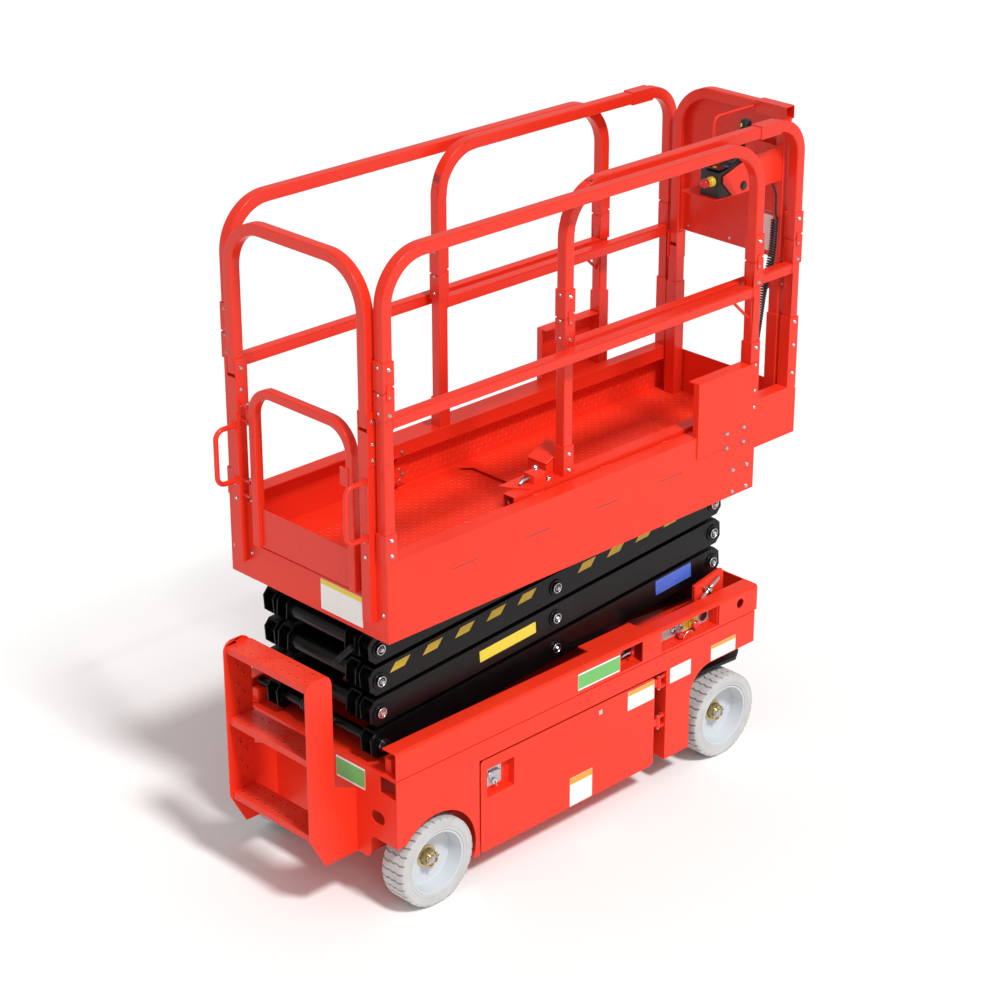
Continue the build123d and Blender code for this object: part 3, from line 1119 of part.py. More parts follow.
def main():
    """Build and write every node."""
    make_wheels()
    save("chassis_deck", make_chassis_deck())
    save("chassis_tail", make_chassis_tail())
    save("chassis_belly", make_chassis_belly())
    save("chassis_nose", make_chassis_nose())
    save("chassis_skins", both_sides(make_side_skin()))
    save("slide_rails", make_slide_rails())
    save("front_bumper", make_front_bumper())
    save("ground_control", make_ground_control())
    for side in SIDES:
        save(f"tray_{side}", on_side(make_tray(), side))
        save(f"knuckle_{side}", on_side(make_knuckle(), side))
    save("battery_block", on_side(make_tray_load(), "left"))
    save("power_unit", on_side(make_tray_load(), "right"))
    save("ladder", make_ladder())
    save("rear_axle", make_rear_axle())
    save("tie_rod", make_tie_rod())
    for stage in range(1, STAGES + 1):
        save(f"outer_arm_{stage}", make_outer_arm(stage))
        save(f"inner_arm_{stage}", make_inner_arm(stage))
    barrel, rod = make_cylinder()
    save("cylinder_barrel", barrel)
    save("cylinder_rod", rod)
    save("platform_floor", make_platform_floor())
    save("platform_tracks", make_platform_tracks())
    save("platform_sills", make_platform_sills())
    save("bulkheads", make_bulkheads())
    save("main_rails", both_sides(make_side_rail()))
    save("rear_rail_lower", make_rear_rail_lower())
    save("rear_rail_upper", make_rear_rail_upper())
    save("gate", make_gate())
    save("extension_deck", make_extension_deck())
    save("extension_sides", make_extension_sides())
    save("extension_rails", both_sides(make_extension_rail()))
    save("front_posts", make_front_posts())
    save("front_rail", make_front_rail())
    save("control_bracket", make_control_bracket())
    save("control_box", make_control_box())
    save("control_cord", make_control_cord())
    save("cord_coil", make_cord_coil())
    save("cord_socket", make_cord_socket())


if __name__ == "__main__":
    main()
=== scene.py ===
"""Dresses the electric scissor lift: finishes, fasteners, tread, plates, controls and cord.

Lengths are millimetres until a mesh is written, which is in metres. The frame is the CAD
model's own: +X is the steered end, +Y the machine's left, +Z up, and the floor is at zero.
"""
import logging
import math
from dataclasses import dataclass, field
from enum import Enum
from typing import Callable, Iterable, Sequence

import bmesh
import bpy
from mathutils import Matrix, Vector


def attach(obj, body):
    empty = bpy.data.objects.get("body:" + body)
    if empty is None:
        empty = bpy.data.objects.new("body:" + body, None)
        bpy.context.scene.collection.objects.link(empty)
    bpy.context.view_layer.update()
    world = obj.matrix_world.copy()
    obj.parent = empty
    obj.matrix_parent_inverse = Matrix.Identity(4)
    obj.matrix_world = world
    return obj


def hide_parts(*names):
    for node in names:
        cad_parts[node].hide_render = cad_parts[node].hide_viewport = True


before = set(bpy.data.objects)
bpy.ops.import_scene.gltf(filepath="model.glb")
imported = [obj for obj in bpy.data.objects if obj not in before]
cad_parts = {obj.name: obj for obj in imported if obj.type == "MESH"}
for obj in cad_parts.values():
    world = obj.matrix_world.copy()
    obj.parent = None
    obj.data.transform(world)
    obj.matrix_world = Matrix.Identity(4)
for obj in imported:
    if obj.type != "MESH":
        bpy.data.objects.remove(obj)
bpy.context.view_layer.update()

log = logging.getLogger("scissor_lift")
MM = 0.001
X_AXIS, Y_AXIS, Z_AXIS = Vector((1, 0, 0)), Vector((0, 1, 0)), Vector((0, 0, 1))
Point = Sequence[float]


class Side(Enum):
    """Side of the machine, with the sign of Y there."""

    LEFT = 1
    RIGHT = -1

    @property
    def word(self) -> str:
        """The side's name as the bodies and nodes have it."""
        return self.name.lower()


class End(Enum):
    """End of the machine, with the middle of its wheels along X."""

    REAR = -697
    FRONT = 657

    @property
    def word(self) -> str:
        """The end's name as the bodies and nodes have it."""
        return self.name.lower()


# ------------------------------------------------------------------ finishes


def linear(hex_colour: str) -> tuple[float, float, float, float]:
    """Turns an sRGB hex colour into linear RGBA.

    Args:
        hex_colour: Six hex digits.

    Returns:
        Linear red, green, blue and an alpha of 1.
    """
    parts = [int(hex_colour[i : i + 2], 16) / 255 for i in (0, 2, 4)]
    flat = [c / 12.92 if c <= 0.04045 else ((c + 0.055) / 1.055) ** 2.4 for c in parts]
    return (flat[0], flat[1], flat[2], 1.0)


def add(
    tree: bpy.types.NodeTree,
    kind: str,
    settings: dict | None = None,
    links: dict | None = None,
) -> bpy.types.Node:
    """Adds a node with its settings and links.

    Args:
        tree: The material's node tree.
        kind: Node type without its ShaderNode prefix.
        settings: Node properties, or default values of its inputs by name or number.
        links: Output sockets to join, by the name or number of this node's input.

    Returns:
        The new node.
    """
    node = tree.nodes.new("ShaderNode" + kind)
    sockets = {socket.name for socket in node.inputs}
    for name, value in (settings or {}).items():
        if isinstance(name, int) or (name in sockets and not hasattr(node, str(name))):
            node.inputs[name].default_value = value
        else:
            setattr(node, name, value)
    for name, source in (links or {}).items():
        tree.links.new(source, node.inputs[name])
    return node


@dataclass(frozen=True)
class Finish:
    """A surface finish: base look, slow tone changes and a fine relief.

    Attributes:
        name: Common name of the material and how its surface was made.
        colour: Main sRGB colour.
        tone: Second sRGB colour that the main one drifts to.
        roughness: Mean roughness.
        uneven: How far the roughness drifts either way.
        metallic: 1 for bare metal, 0 otherwise.
        ior: Refractive index of the top surface.
        sheen_level: Strength of the mirror part of the top surface, 0.5 for clean lacquer.
        patch_mm: Size of the patches of the second colour.
        patch: Share of the second colour at its strongest.
        grain_mm: Spacing of the fine relief.
        relief: Strength of the fine relief.
        relief_mm: Height of the fine relief.
        coat: Weight of a clear coat.
        stretch: Scale of the pattern along each axis, for drawn or brushed surfaces.
    """

    name: str
    colour: str
    tone: str
    roughness: float
    uneven: float = 0.06
    metallic: float = 0.0
    ior: float = 1.5
    sheen_level: float = 0.5
    patch_mm: float = 180.0
    patch: float = 0.35
    grain_mm: float = 3.0
    relief: float = 0.12
    relief_mm: float = 0.12
    coat: float = 0.0
    stretch: tuple[float, float, float] = (1.0, 1.0, 1.0)

    def material(self) -> bpy.types.Material:
        """Builds the finish once and returns it."""
        found = bpy.data.materials.get(self.name)
        if found:
            return found
        made = bpy.data.materials.new(self.name)
        made.use_nodes = True
        tree = made.node_tree
        tree.nodes.clear()
        place = add(tree, "TexCoord")
        spot = add(tree, "Mapping", {"Scale": self.stretch}, {"Vector": place.outputs["Object"]})
        vector = {"Vector": spot.outputs["Vector"]}
        slow = add(
            tree, "TexNoise", {"Scale": 1 / (self.patch_mm * MM), "Detail": 4.0, "Roughness": 0.6}, vector
        )
        drift = {"Value": slow.outputs["Fac"]}
        share = add(tree, "MapRange", {"From Min": 0.35, "From Max": 0.75, "To Max": self.patch}, drift)
        tones = {"data_type": "RGBA", 6: linear(self.colour), 7: linear(self.tone)}
        blend = add(tree, "Mix", tones, {0: share.outputs["Result"]})
        fine = add(tree, "TexNoise", {"Scale": 1 / (self.grain_mm * MM), "Detail": 3.0}, vector)
        low, high = max(self.roughness - self.uneven, 0.03), self.roughness + self.uneven
        shine = {"From Min": 0.3, "From Max": 0.7, "To Min": low, "To Max": high}
        gloss = add(tree, "MapRange", shine, drift)
        height = {"Strength": self.relief, "Distance": self.relief_mm * MM}
        bump = add(tree, "Bump", height, {"Height": fine.outputs["Fac"]})
        surface = {
            "Metallic": self.metallic,
            "IOR": self.ior,
            "Specular IOR Level": self.sheen_level,
            "Coat Weight": self.coat,
            "Coat Roughness": 0.12,
        }
        inputs = {
            "Base Color": blend.outputs[2],
            "Roughness": gloss.outputs["Result"],
            "Normal": bump.outputs["Normal"],
        }
        shader = add(tree, "BsdfPrincipled", surface, inputs)
        add(tree, "OutputMaterial", None, {"Surface": shader.outputs["BSDF"]})
        return made


# Polyester powder coat, sprayed and baked: an even orange red with a soft orange-peel relief
# about 3 mm across, and a broad highlight.
POWDER_RED = Finish(
    "powder_coat_orange_red", "EA331C", "F23C24", 0.34, 0.05, sheen_level=0.28, grain_mm=3.2, relief=0.06
)
# The same coat on the rails' bent tube, a little glossier where it flowed round the corners.
POWDER_TUBE = Finish(
    "powder_coat_orange_red_tube", "E2301C", "EA3822", 0.30, 0.05, sheen_level=0.32, patch_mm=240,
    grain_mm=2.6, relief=0.06,
)
# Raised-pattern steel sheet under the same coat, in slow patches that are paler and duller: the paler pink is
# a painted highlight that stands in for glare on the pattern.
POWDER_TREAD = Finish(
    "powder_coat_orange_red_tread", "E83A24", "F2604A", 0.36, 0.10, sheen_level=0.4, patch_mm=90, patch=0.5
)
# Two-pack enamel on the arms: a satin black that keeps a thin grey film of dust.
ENAMEL_BLACK = Finish(
    "satin_enamel_black", "070708", "111112", 0.30, 0.08, sheen_level=0.2, patch_mm=120, patch=0.5,
    grain_mm=2.5, relief=0.06,
)
# Cast and welded running gear, brushed with the same enamel: coarser and duller.
ENAMEL_CAST = Finish(
    "brushed_enamel_black", "0C0C0D", "1B1B1B", 0.48, 0.10, sheen_level=0.3, patch_mm=60, patch=0.6,
    grain_mm=4, relief=0.3, relief_mm=0.3,
)
# Hard-chromed rod, ground and polished: a sharp mirror with hardly any relief.
CHROME = Finish(
    "hard_chrome_ground", "D9DADC", "C9CACC", 0.10, 0.03, metallic=1.0, patch_mm=50, grain_mm=0.8,
    relief=0.03, relief_mm=0.02, stretch=(1, 8, 1),
)
# Zinc-plated steel, passivated clear: a pale blue grey with cloudy patches.
ZINC = Finish(
    "zinc_plated_steel_clear", "C4C8CC", "A4A9AE", 0.30, 0.08, metallic=1.0, patch_mm=9, patch=0.7,
    grain_mm=1.2, relief=0.1, relief_mm=0.05,
)
# Zinc-plated steel, passivated yellow: straw gold with a pink and green drift.
ZINC_YELLOW = Finish(
    "zinc_plated_steel_yellow", "CDB77C", "B9A98F", 0.32, 0.08, metallic=1.0, patch_mm=7, patch=0.8,
    grain_mm=1.2, relief=0.1, relief_mm=0.05,
)
# Bright turned steel on the pin ends: fine turning marks seen as a soft ring of light.
TURNED_STEEL = Finish(
    "turned_steel_bright", "B9BBBD", "8F9295", 0.24, 0.06, metallic=1.0, patch_mm=12, patch=0.5,
    grain_mm=0.7, relief=0.12, relief_mm=0.04,
)
# Brass, turned: warm yellow metal rings and gland nuts.
BRASS = Finish(
    "brass_turned", "C8A54A", "A98636", 0.28, 0.06, metallic=1.0, patch_mm=10, patch=0.5,
    grain_mm=0.9, relief=0.1, relief_mm=0.04,
)
# Solid non-marking rubber, pressed in a mould: pale grey, matt, with darker scuffs.
RUBBER_GREY = Finish(
    "non_marking_rubber_moulded", "C3C4C3", "ABACAA", 0.68, 0.08, ior=1.52, patch_mm=70, patch=0.6,
    grain_mm=2.2, relief=0.35, relief_mm=0.25,
)
# Powder-coated pressed rim: pale blue grey, smoother than the rubber round it.
RIM_GREY = Finish(
    "powder_coat_light_grey", "C9CED3", "B9BFC4", 0.42, 0.06, patch_mm=90, grain_mm=2.8
)
# ABS box, moulded with a fine spark texture: near black and matt.
ABS_BLACK = Finish(
    "abs_black_moulded", "17181A", "222326", 0.52, 0.06, ior=1.53, patch_mm=50, grain_mm=1.1,
    relief=0.35, relief_mm=0.08,
)
# Glass-filled nylon knobs and clamps: black, slightly glossier than the box.
NYLON_BLACK = Finish(
    "nylon_black_moulded", "141416", "1E1E20", 0.40, 0.06, ior=1.53, patch_mm=30, grain_mm=1.4,
    relief=0.25, relief_mm=0.06,
)
# Urea push button, moulded glossy: signal red.
BUTTON_RED = Finish(
    "urea_red_moulded", "D2161A", "B81015", 0.22, 0.04, ior=1.55, patch_mm=20, grain_mm=2.0,
    relief=0.05, relief_mm=0.03,
)
# Soft PVC jacket of the control cable, extruded: black with a faint waxy shine.
PVC_BLACK = Finish(
    "pvc_black_extruded", "131314", "1D1D1F", 0.38, 0.05, ior=1.53, patch_mm=25, grain_mm=1.6,
    relief=0.15, relief_mm=0.05,
)


def vinyl_film(name: str, colour: str, tone: str, patch_mm: float = 30, patch: float = 0.35) -> Finish:
    """Printed vinyl film, laminated: a flat colour under a smooth, slightly glossy face.

    Args:
        name: Last word of the finish's name.
        colour: Main sRGB colour.
        tone: Second sRGB colour.
        patch_mm: Size of the patches of the second colour.
        patch: Share of the second colour at its strongest.

    Returns:
        The film's finish.
    """
    return Finish(
        f"vinyl_film_{name}", colour, tone, 0.33, 0.04, patch_mm=patch_mm, patch=patch, grain_mm=6,
        relief=0.05,
    )


FILM_WHITE = vinyl_film("white", "F1F1EE", "E6E7E6")
FILM_ORANGE = vinyl_film("orange", "F2A22C", "E89822")
FILM_YELLOW = vinyl_film("yellow", "E9D23C", "DCC230")
FILM_GREEN = vinyl_film("green", "6DBB62", "62AE5A")
FILM_BLUE = vinyl_film("blue", "3E63C8", "4C74D6", 18, 0.8)
FILM_RED = vinyl_film("red", "CC2A22", "BE221C")
# The hazard stripes' film: a darker yellow with a duller face than the small films.
FILM_HAZARD = Finish(
    "vinyl_film_hazard_yellow", "C9A91E", "B8991A", 0.45, 0.06, patch_mm=25, patch=0.6, grain_mm=5
)
# Die-cut printed panel of the lower controls: satin light grey.
PANEL_GREY = Finish(
    "printed_panel_light_grey", "BDBEBD", "AFB0AF", 0.36, 0.05, patch_mm=30, grain_mm=3, relief=0.06
)
# Float glass over the gauges: dark dial behind a glossy face. The same finish is also laid as painted shade
# in the pierced holes, the keyway and the brake release slot.
DIAL_DARK = Finish(
    "gauge_dial_glazed", "1A1B1E", "26282C", 0.12, 0.03, patch_mm=14, grain_mm=4, relief=0.02, coat=0.6
)

# ------------------------------------------------------------------ mesh tools


def ring_of(radius: float, steps: int, phase: float = 0.0) -> list[tuple[float, float]]:
    """Points of a regular outline.

    Args:
        radius: Distance of each point from the middle.
        steps: Number of points.
        phase: Turn of the first point, in radians.

    Returns:
        The points, anticlockwise.
    """
    angles = [phase + i * math.tau / steps for i in range(steps)]
    return [(radius * math.cos(angle), radius * math.sin(angle)) for angle in angles]


def rounded(width: float, height: float, corner: float, steps: int = 4) -> list[tuple[float, float]]:
    """Outline of a rounded rectangle round the origin.

    Args:
        width: Size along the first axis.
        height: Size along the second axis.
        corner: Corner radius.
        steps: Segments in each corner.

    Returns:
        The points, anticlockwise.
    """
    points = []
    for quarter, (sx, sy) in enumerate(((1, 1), (-1, 1), (-1, -1), (1, -1))):
        cx, cy = sx * (width / 2 - corner), sy * (height / 2 - corner)
        for i in range(steps + 1):
            angle = math.pi / 2 * (quarter + i / steps)
            points.append((cx + corner * math.cos(angle), cy + corner * math.sin(angle)))
    return points


def inset(outline: Sequence[Point], by: float) -> list[tuple[float, float]]:
    """Moves each side of an anticlockwise outline inwards.

    Args:
        outline: The points, anticlockwise.
        by: Distance to move each side.

    Returns:
        The same number of points, mitred.
    """
    count = len(outline)
    result = []
    for i in range(count):
        before, here, after = (Vector(outline[(i + k) % count]) for k in (-1, 0, 1))
        first, second = (here - before).normalized(), (after - here).normalized()
        inner = Vector((-first.y, first.x)) + Vector((-second.y, second.x))
        if inner.length < 1e-6:
            inner = Vector((-first.y, first.x))
        inner.normalize()
        cosine = max(inner.dot(Vector((-first.y, first.x))), 0.35)
        moved = here + inner * (by / cosine)
        result.append((moved.x, moved.y))
    return result


def stud(
    radius: float, height: float, inwards: float = 0.0, down: float = 0.0, bore: float = 0.0
) -> list[tuple[float, float]]:
    """Profile of a plain head, disc or collar with a bevelled top edge.

    Args:
        radius: Outer radius.
        height: Height above its foot.
        inwards: Width of the bevel.
        down: Height of the bevel.
        bore: Inner radius, where the profile is used as a ring.

    Returns:
        Pairs of radius and height.
    """
    bevel = [(radius, height - down), (radius - inwards, height)] if inwards else [(radius, height)]
    return [(bore, 0), (radius, 0), *bevel, (bore, height)]


def frame_of(axis: Vector) -> tuple[Vector, Vector]:
    """Two directions across an axis, right-handed with it."""
    across = axis.cross(Z_AXIS if abs(axis.z) < 0.9 else X_AXIS).normalized()
    return across, axis.cross(across).normalized()


class Piece:
    """One mesh piece on one body, made of turned, cut and bent parts."""

    SHARP = math.radians(32)

    def __init__(self, name: str, body: str) -> None:
        """Starts an empty piece.

        Args:
            name: Name of the finished object.
            body: CAD body it rides on.
        """
        self.name = name
        self.body = body
        self.mesh = bmesh.new()
        self.finishes: list[Finish] = []

    def _slot(self, finish: Finish) -> int:
        """Number of a finish on this piece."""
        if finish not in self.finishes:
            self.finishes.append(finish)
        return self.finishes.index(finish)

    def faces(self, points: Sequence[Point], polygons: Iterable[Sequence[int]], finish: Finish) -> None:
        """Adds raw faces.

        Args:
            points: Corners.
            polygons: Corner numbers of each face.
            finish: Finish of all the faces.
        """
        made = [self.mesh.verts.new(p) for p in points]
        number = self._slot(finish)
        for polygon in polygons:
            face = self.mesh.faces.new([made[i] for i in polygon])
            face.material_index = number

    def turned(
        self,
        centre: Point,
        axis: Vector,
        profile: Sequence[Point],
        finish: Finish,
        steps: int = 20,
        phase: float = 0.0,
        ring: bool = False,
    ) -> None:
        """Adds a part turned on a lathe, or a prism where steps is small.

        Args:
            centre: Zero of the profile's heights.
            axis: Direction of the heights.
            profile: Pairs of radius and height. A radius of zero closes that end.
            finish: Finish of the part.
            steps: Segments round the axis.
            phase: Turn of the first segment, in radians.
            ring: Whether the profile closes on itself round an open middle.
        """
        u, v = frame_of(axis)
        points, rings = [], []
        for radius, height in profile:
            base = Vector(centre) + axis * height
            if radius <= 0:
                rings.append([len(points)])
                points.append(base)
                continue
            rings.append(list(range(len(points), len(points) + steps)))
            points += [base + u * a + v * b for a, b in ring_of(radius, steps, phase)]
        polygons: list[Sequence[int]] = []
        for low, high in zip(rings, rings[1:] + rings[:1] if ring else rings[1:]):
            for i in range(steps):
                j = (i + 1) % steps
                foot, head = [low[k % len(low)] for k in (i, j)], [high[k % len(high)] for k in (j, i)]
                polygons.append(list(dict.fromkeys(foot + head)))
        for end in () if ring else (rings[0], rings[-1]):
            if len(end) > 1:
                polygons.append(end)
        self.faces(points, polygons, finish)

    def cut(
        self,
        outline: Sequence[Point],
        origin: Point,
        u: Vector,
        v: Vector,
        depth: float,
        finish: Finish,
        chamfer: float = 0.0,
        sunk: float = 0.0,
    ) -> None:
        """Adds a flat part cut to an outline, standing on a surface.

        Args:
            outline: Anticlockwise points in the u, v plane.
            origin: Where the outline's origin lies on the surface.
            u: First direction of the outline.
            v: Second direction of the outline. The part grows along u x v.
            depth: Height above the surface.
            finish: Finish of the part.
            chamfer: Bevel of the top edge.
            sunk: How far the part also reaches into the surface.
        """
        normal = u.cross(v).normalized()
        origin = Vector(origin)
        levels = [(outline, -sunk)]
        if chamfer > 0:
            levels += [(outline, depth - chamfer), (inset(outline, chamfer), depth)]
        else:
            levels += [(outline, depth)]
        points: list[Vector] = []
        rings = []
        for shape, height in levels:
            rings.append(list(range(len(points), len(points) + len(shape))))
            points += [origin + u * a + v * b + normal * height for a, b in shape]
        count = len(outline)
        polygons: list[Sequence[int]] = [rings[0][::-1], rings[-1]]
        for low, high in zip(rings, rings[1:]):
            for i in range(count):
                j = (i + 1) % count
                polygons.append([low[i], low[j], high[j], high[i]])
        self.faces(points, polygons, finish)

    def bar(
        self,
        path: Sequence[Point],
        radius: float,
        finish: Finish,
        steps: int = 12,
        closed: bool = False,
        section: Sequence[Point] | None = None,
    ) -> None:
        """Adds a bar or tube that follows a path.

        Args:
            path: Points of its middle line.
            radius: Radius of a round bar.
            finish: Finish of the bar.
            steps: Segments round it.
            closed: Whether the path joins its own start.
            section: Outline used in place of a circle.
        """
        line = [Vector(p) for p in path]
        count = len(line)
        outline = section or ring_of(radius, steps)
        steps = len(outline)
        u = None
        points: list[Vector] = []
        for i, here in enumerate(line):
            if closed:
                along = (line[(i + 1) % count] - line[i - 1]).normalized()
            else:
                along = (line[min(i + 1, count - 1)] - line[max(i - 1, 0)]).normalized()
            u = frame_of(along)[0] if u is None else (u - along * u.dot(along)).normalized()
            v = along.cross(u)
            points += [here + u * a + v * b for a, b in outline]
        polygons: list[Sequence[int]] = []
        for i in range(count if closed else count - 1):
            j = (i + 1) % count
            for k in range(steps):
                m = (k + 1) % steps
                polygons.append([i * steps + k, i * steps + m, j * steps + m, j * steps + k])
        if not closed:
            polygons += [list(range(steps))[::-1], list(range((count - 1) * steps, count * steps))]
        self.faces(points, polygons, finish)

    def bolt(
        self,
        at: Point,
        axis: Vector,
        size: float,
        finish: Finish,
        washer: Finish | None = None,
        domed: bool = False,
        turn: float = 0.2,
    ) -> None:
        """Adds a hexagon or domed bolt head on its washer.

        Args:
            at: Where the washer lies on the surface.
            axis: Direction out of the surface.
            size: Thread diameter.
            finish: Finish of the head.
            washer: Finish of the washer, the head's own where it is left out.
            domed: Whether the head is a button head with a socket.
            turn: Turn of the hexagon, in radians.
        """
        thick = 0.16 * size
        ring = [(0, -1), (1.05 * size, -1), (1.05 * size, thick - 0.3), (1.0 * size, thick), (0, thick)]
        self.turned(at, axis, ring, washer or finish, 20)
        top = 0.7 * size + thick
        if domed:
            dome = [(0, thick), (0.86 * size, thick), (0.84 * size, thick + 0.2 * size)]
            dome += [(0.6 * size, top * 0.85), (0.32 * size, top), (0.3 * size, top * 0.6), (0, top * 0.58)]
            self.turned(at, axis, dome, finish, 18)
            return
        head = [(0, thick), (0.9 * size, thick), (0.9 * size, top - 0.14 * size), (0.78 * size, top)]
        head += [(0.5 * size, top), (0.46 * size, top - 0.05 * size), (0, top - 0.05 * size)]
        self.turned(at, axis, head, finish, 6, turn)

    def done(self, replaces: Sequence[str] = ()) -> bpy.types.Object:
        """Writes the piece into the scene and rides it on its body.

        Args:
            replaces: CAD nodes that it stands for.

        Returns:
            The new object.
        """
        bmesh.ops.recalc_face_normals(self.mesh, faces=self.mesh.faces)
        bmesh.ops.scale(self.mesh, vec=(MM, MM, MM), verts=self.mesh.verts)
        for edge in self.mesh.edges:
            if len(edge.link_faces) == 2:
                edge.smooth = edge.calc_face_angle(0) < self.SHARP
        for face in self.mesh.faces:
            face.smooth = True
        data = bpy.data.meshes.new(self.name)
        self.mesh.to_mesh(data)
        self.mesh.free()
        for finish in self.finishes:
            data.materials.append(finish.material())
        made = bpy.data.objects.new(self.name, data)
        bpy.context.scene.collection.objects.link(made)
        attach(made, self.body)
        if replaces:
            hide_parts(*replaces)
        log.info("%s: %d faces on %s", self.name, len(data.polygons), self.body)
        return made

# ------------------------------------------------------------------ CAD nodes


@dataclass
class FrameDress:
    """Finishes and softened edges of the CAD nodes.

    Attributes:
        edge_mm: Radius of the softened edges, by node name prefix.
        coats: Finish by node name prefix; the longest prefix that fits is used.
        hub_y: Distance from the middle plane beyond which the axles are plated.
        hub_z: Height of the axles.
        hub_reach: Radius round the axle that is plated.
    """

    hub_y: float = 322.2
    hub_z: float = 152.5
    hub_reach: float = 45.0
    edge_mm: dict[str, float] = field(
        default_factory=lambda: {"": 0.8, "tyre": 0.0, "rim": 0.5, "ground": 0.5}
    )
    coats: dict[str, Finish] = field(
        default_factory=lambda: {
            prefix: finish
            for finish, prefixes in (
                (POWDER_RED, ("",)),
                (POWDER_TUBE, ("main_rails", "rear_rail", "extension_rails", "front_posts")),
                (POWDER_TUBE, ("front_rail", "gate")),
                (ENAMEL_BLACK, ("inner_arm", "outer_arm", "cylinder_barrel")),
                (ENAMEL_CAST, ("knuckle", "tie_rod", "rear_axle", "power_unit")),
                (ABS_BLACK, ("battery_block", "control_box", "cord_socket")),
                (PVC_BLACK, ("control_cord", "cord_coil")),
                (CHROME, ("cylinder_rod",)),
                (RUBBER_GREY, ("tyre",)),
                (RIM_GREY, ("rim",)),
            )
            for prefix in prefixes
        }
    )

    @staticmethod
    def pick(table: dict, name: str) -> object:
        """Value of the longest prefix in a table that a name starts with."""
        return table[max((key for key in table if name.startswith(key)), key=len)]

    def second_coat(self, name: str, node: bpy.types.Object) -> None:
        """Gives the hub nuts and axle ends of a node their plated finish."""
        if name.startswith(("rear_axle", "knuckle")):
            node.data.materials.append(ZINC_YELLOW.material())
            for face in node.data.polygons:
                x, y, z = face.center / MM
                reach = min(math.hypot(x - end.value, z - self.hub_z) for end in End)
                if abs(y) > self.hub_y and reach < self.hub_reach:
                    face.material_index = 1

    def dress(self) -> None:
        """Gives each CAD node its finish and softens its edges."""
        for name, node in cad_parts.items():
            node.data.materials.clear()
            node.data.materials.append(self.pick(self.coats, name).material())
            for face in node.data.polygons:
                face.use_smooth = True
                face.material_index = 0
            self.second_coat(name, node)
            if node.data.has_custom_normals:
                node.data.attributes.remove(node.data.attributes["custom_normal"])
            weld = node.modifiers.new("joined_faces", "WELD")
            weld.merge_threshold = 0.00001
            width = self.pick(self.edge_mm, name)
            if width > 0:
                edge = node.modifiers.new("soft_edges", "BEVEL")
                edge.width = width * MM
                edge.segments = 2
                edge.limit_method = "ANGLE"
                edge.angle_limit = math.radians(38)
                edge.use_clamp_overlap = False
                edge.harden_normals = True
        log.info("dressed %d frame nodes", len(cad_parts))

# ------------------------------------------------------------------ wheels and steering


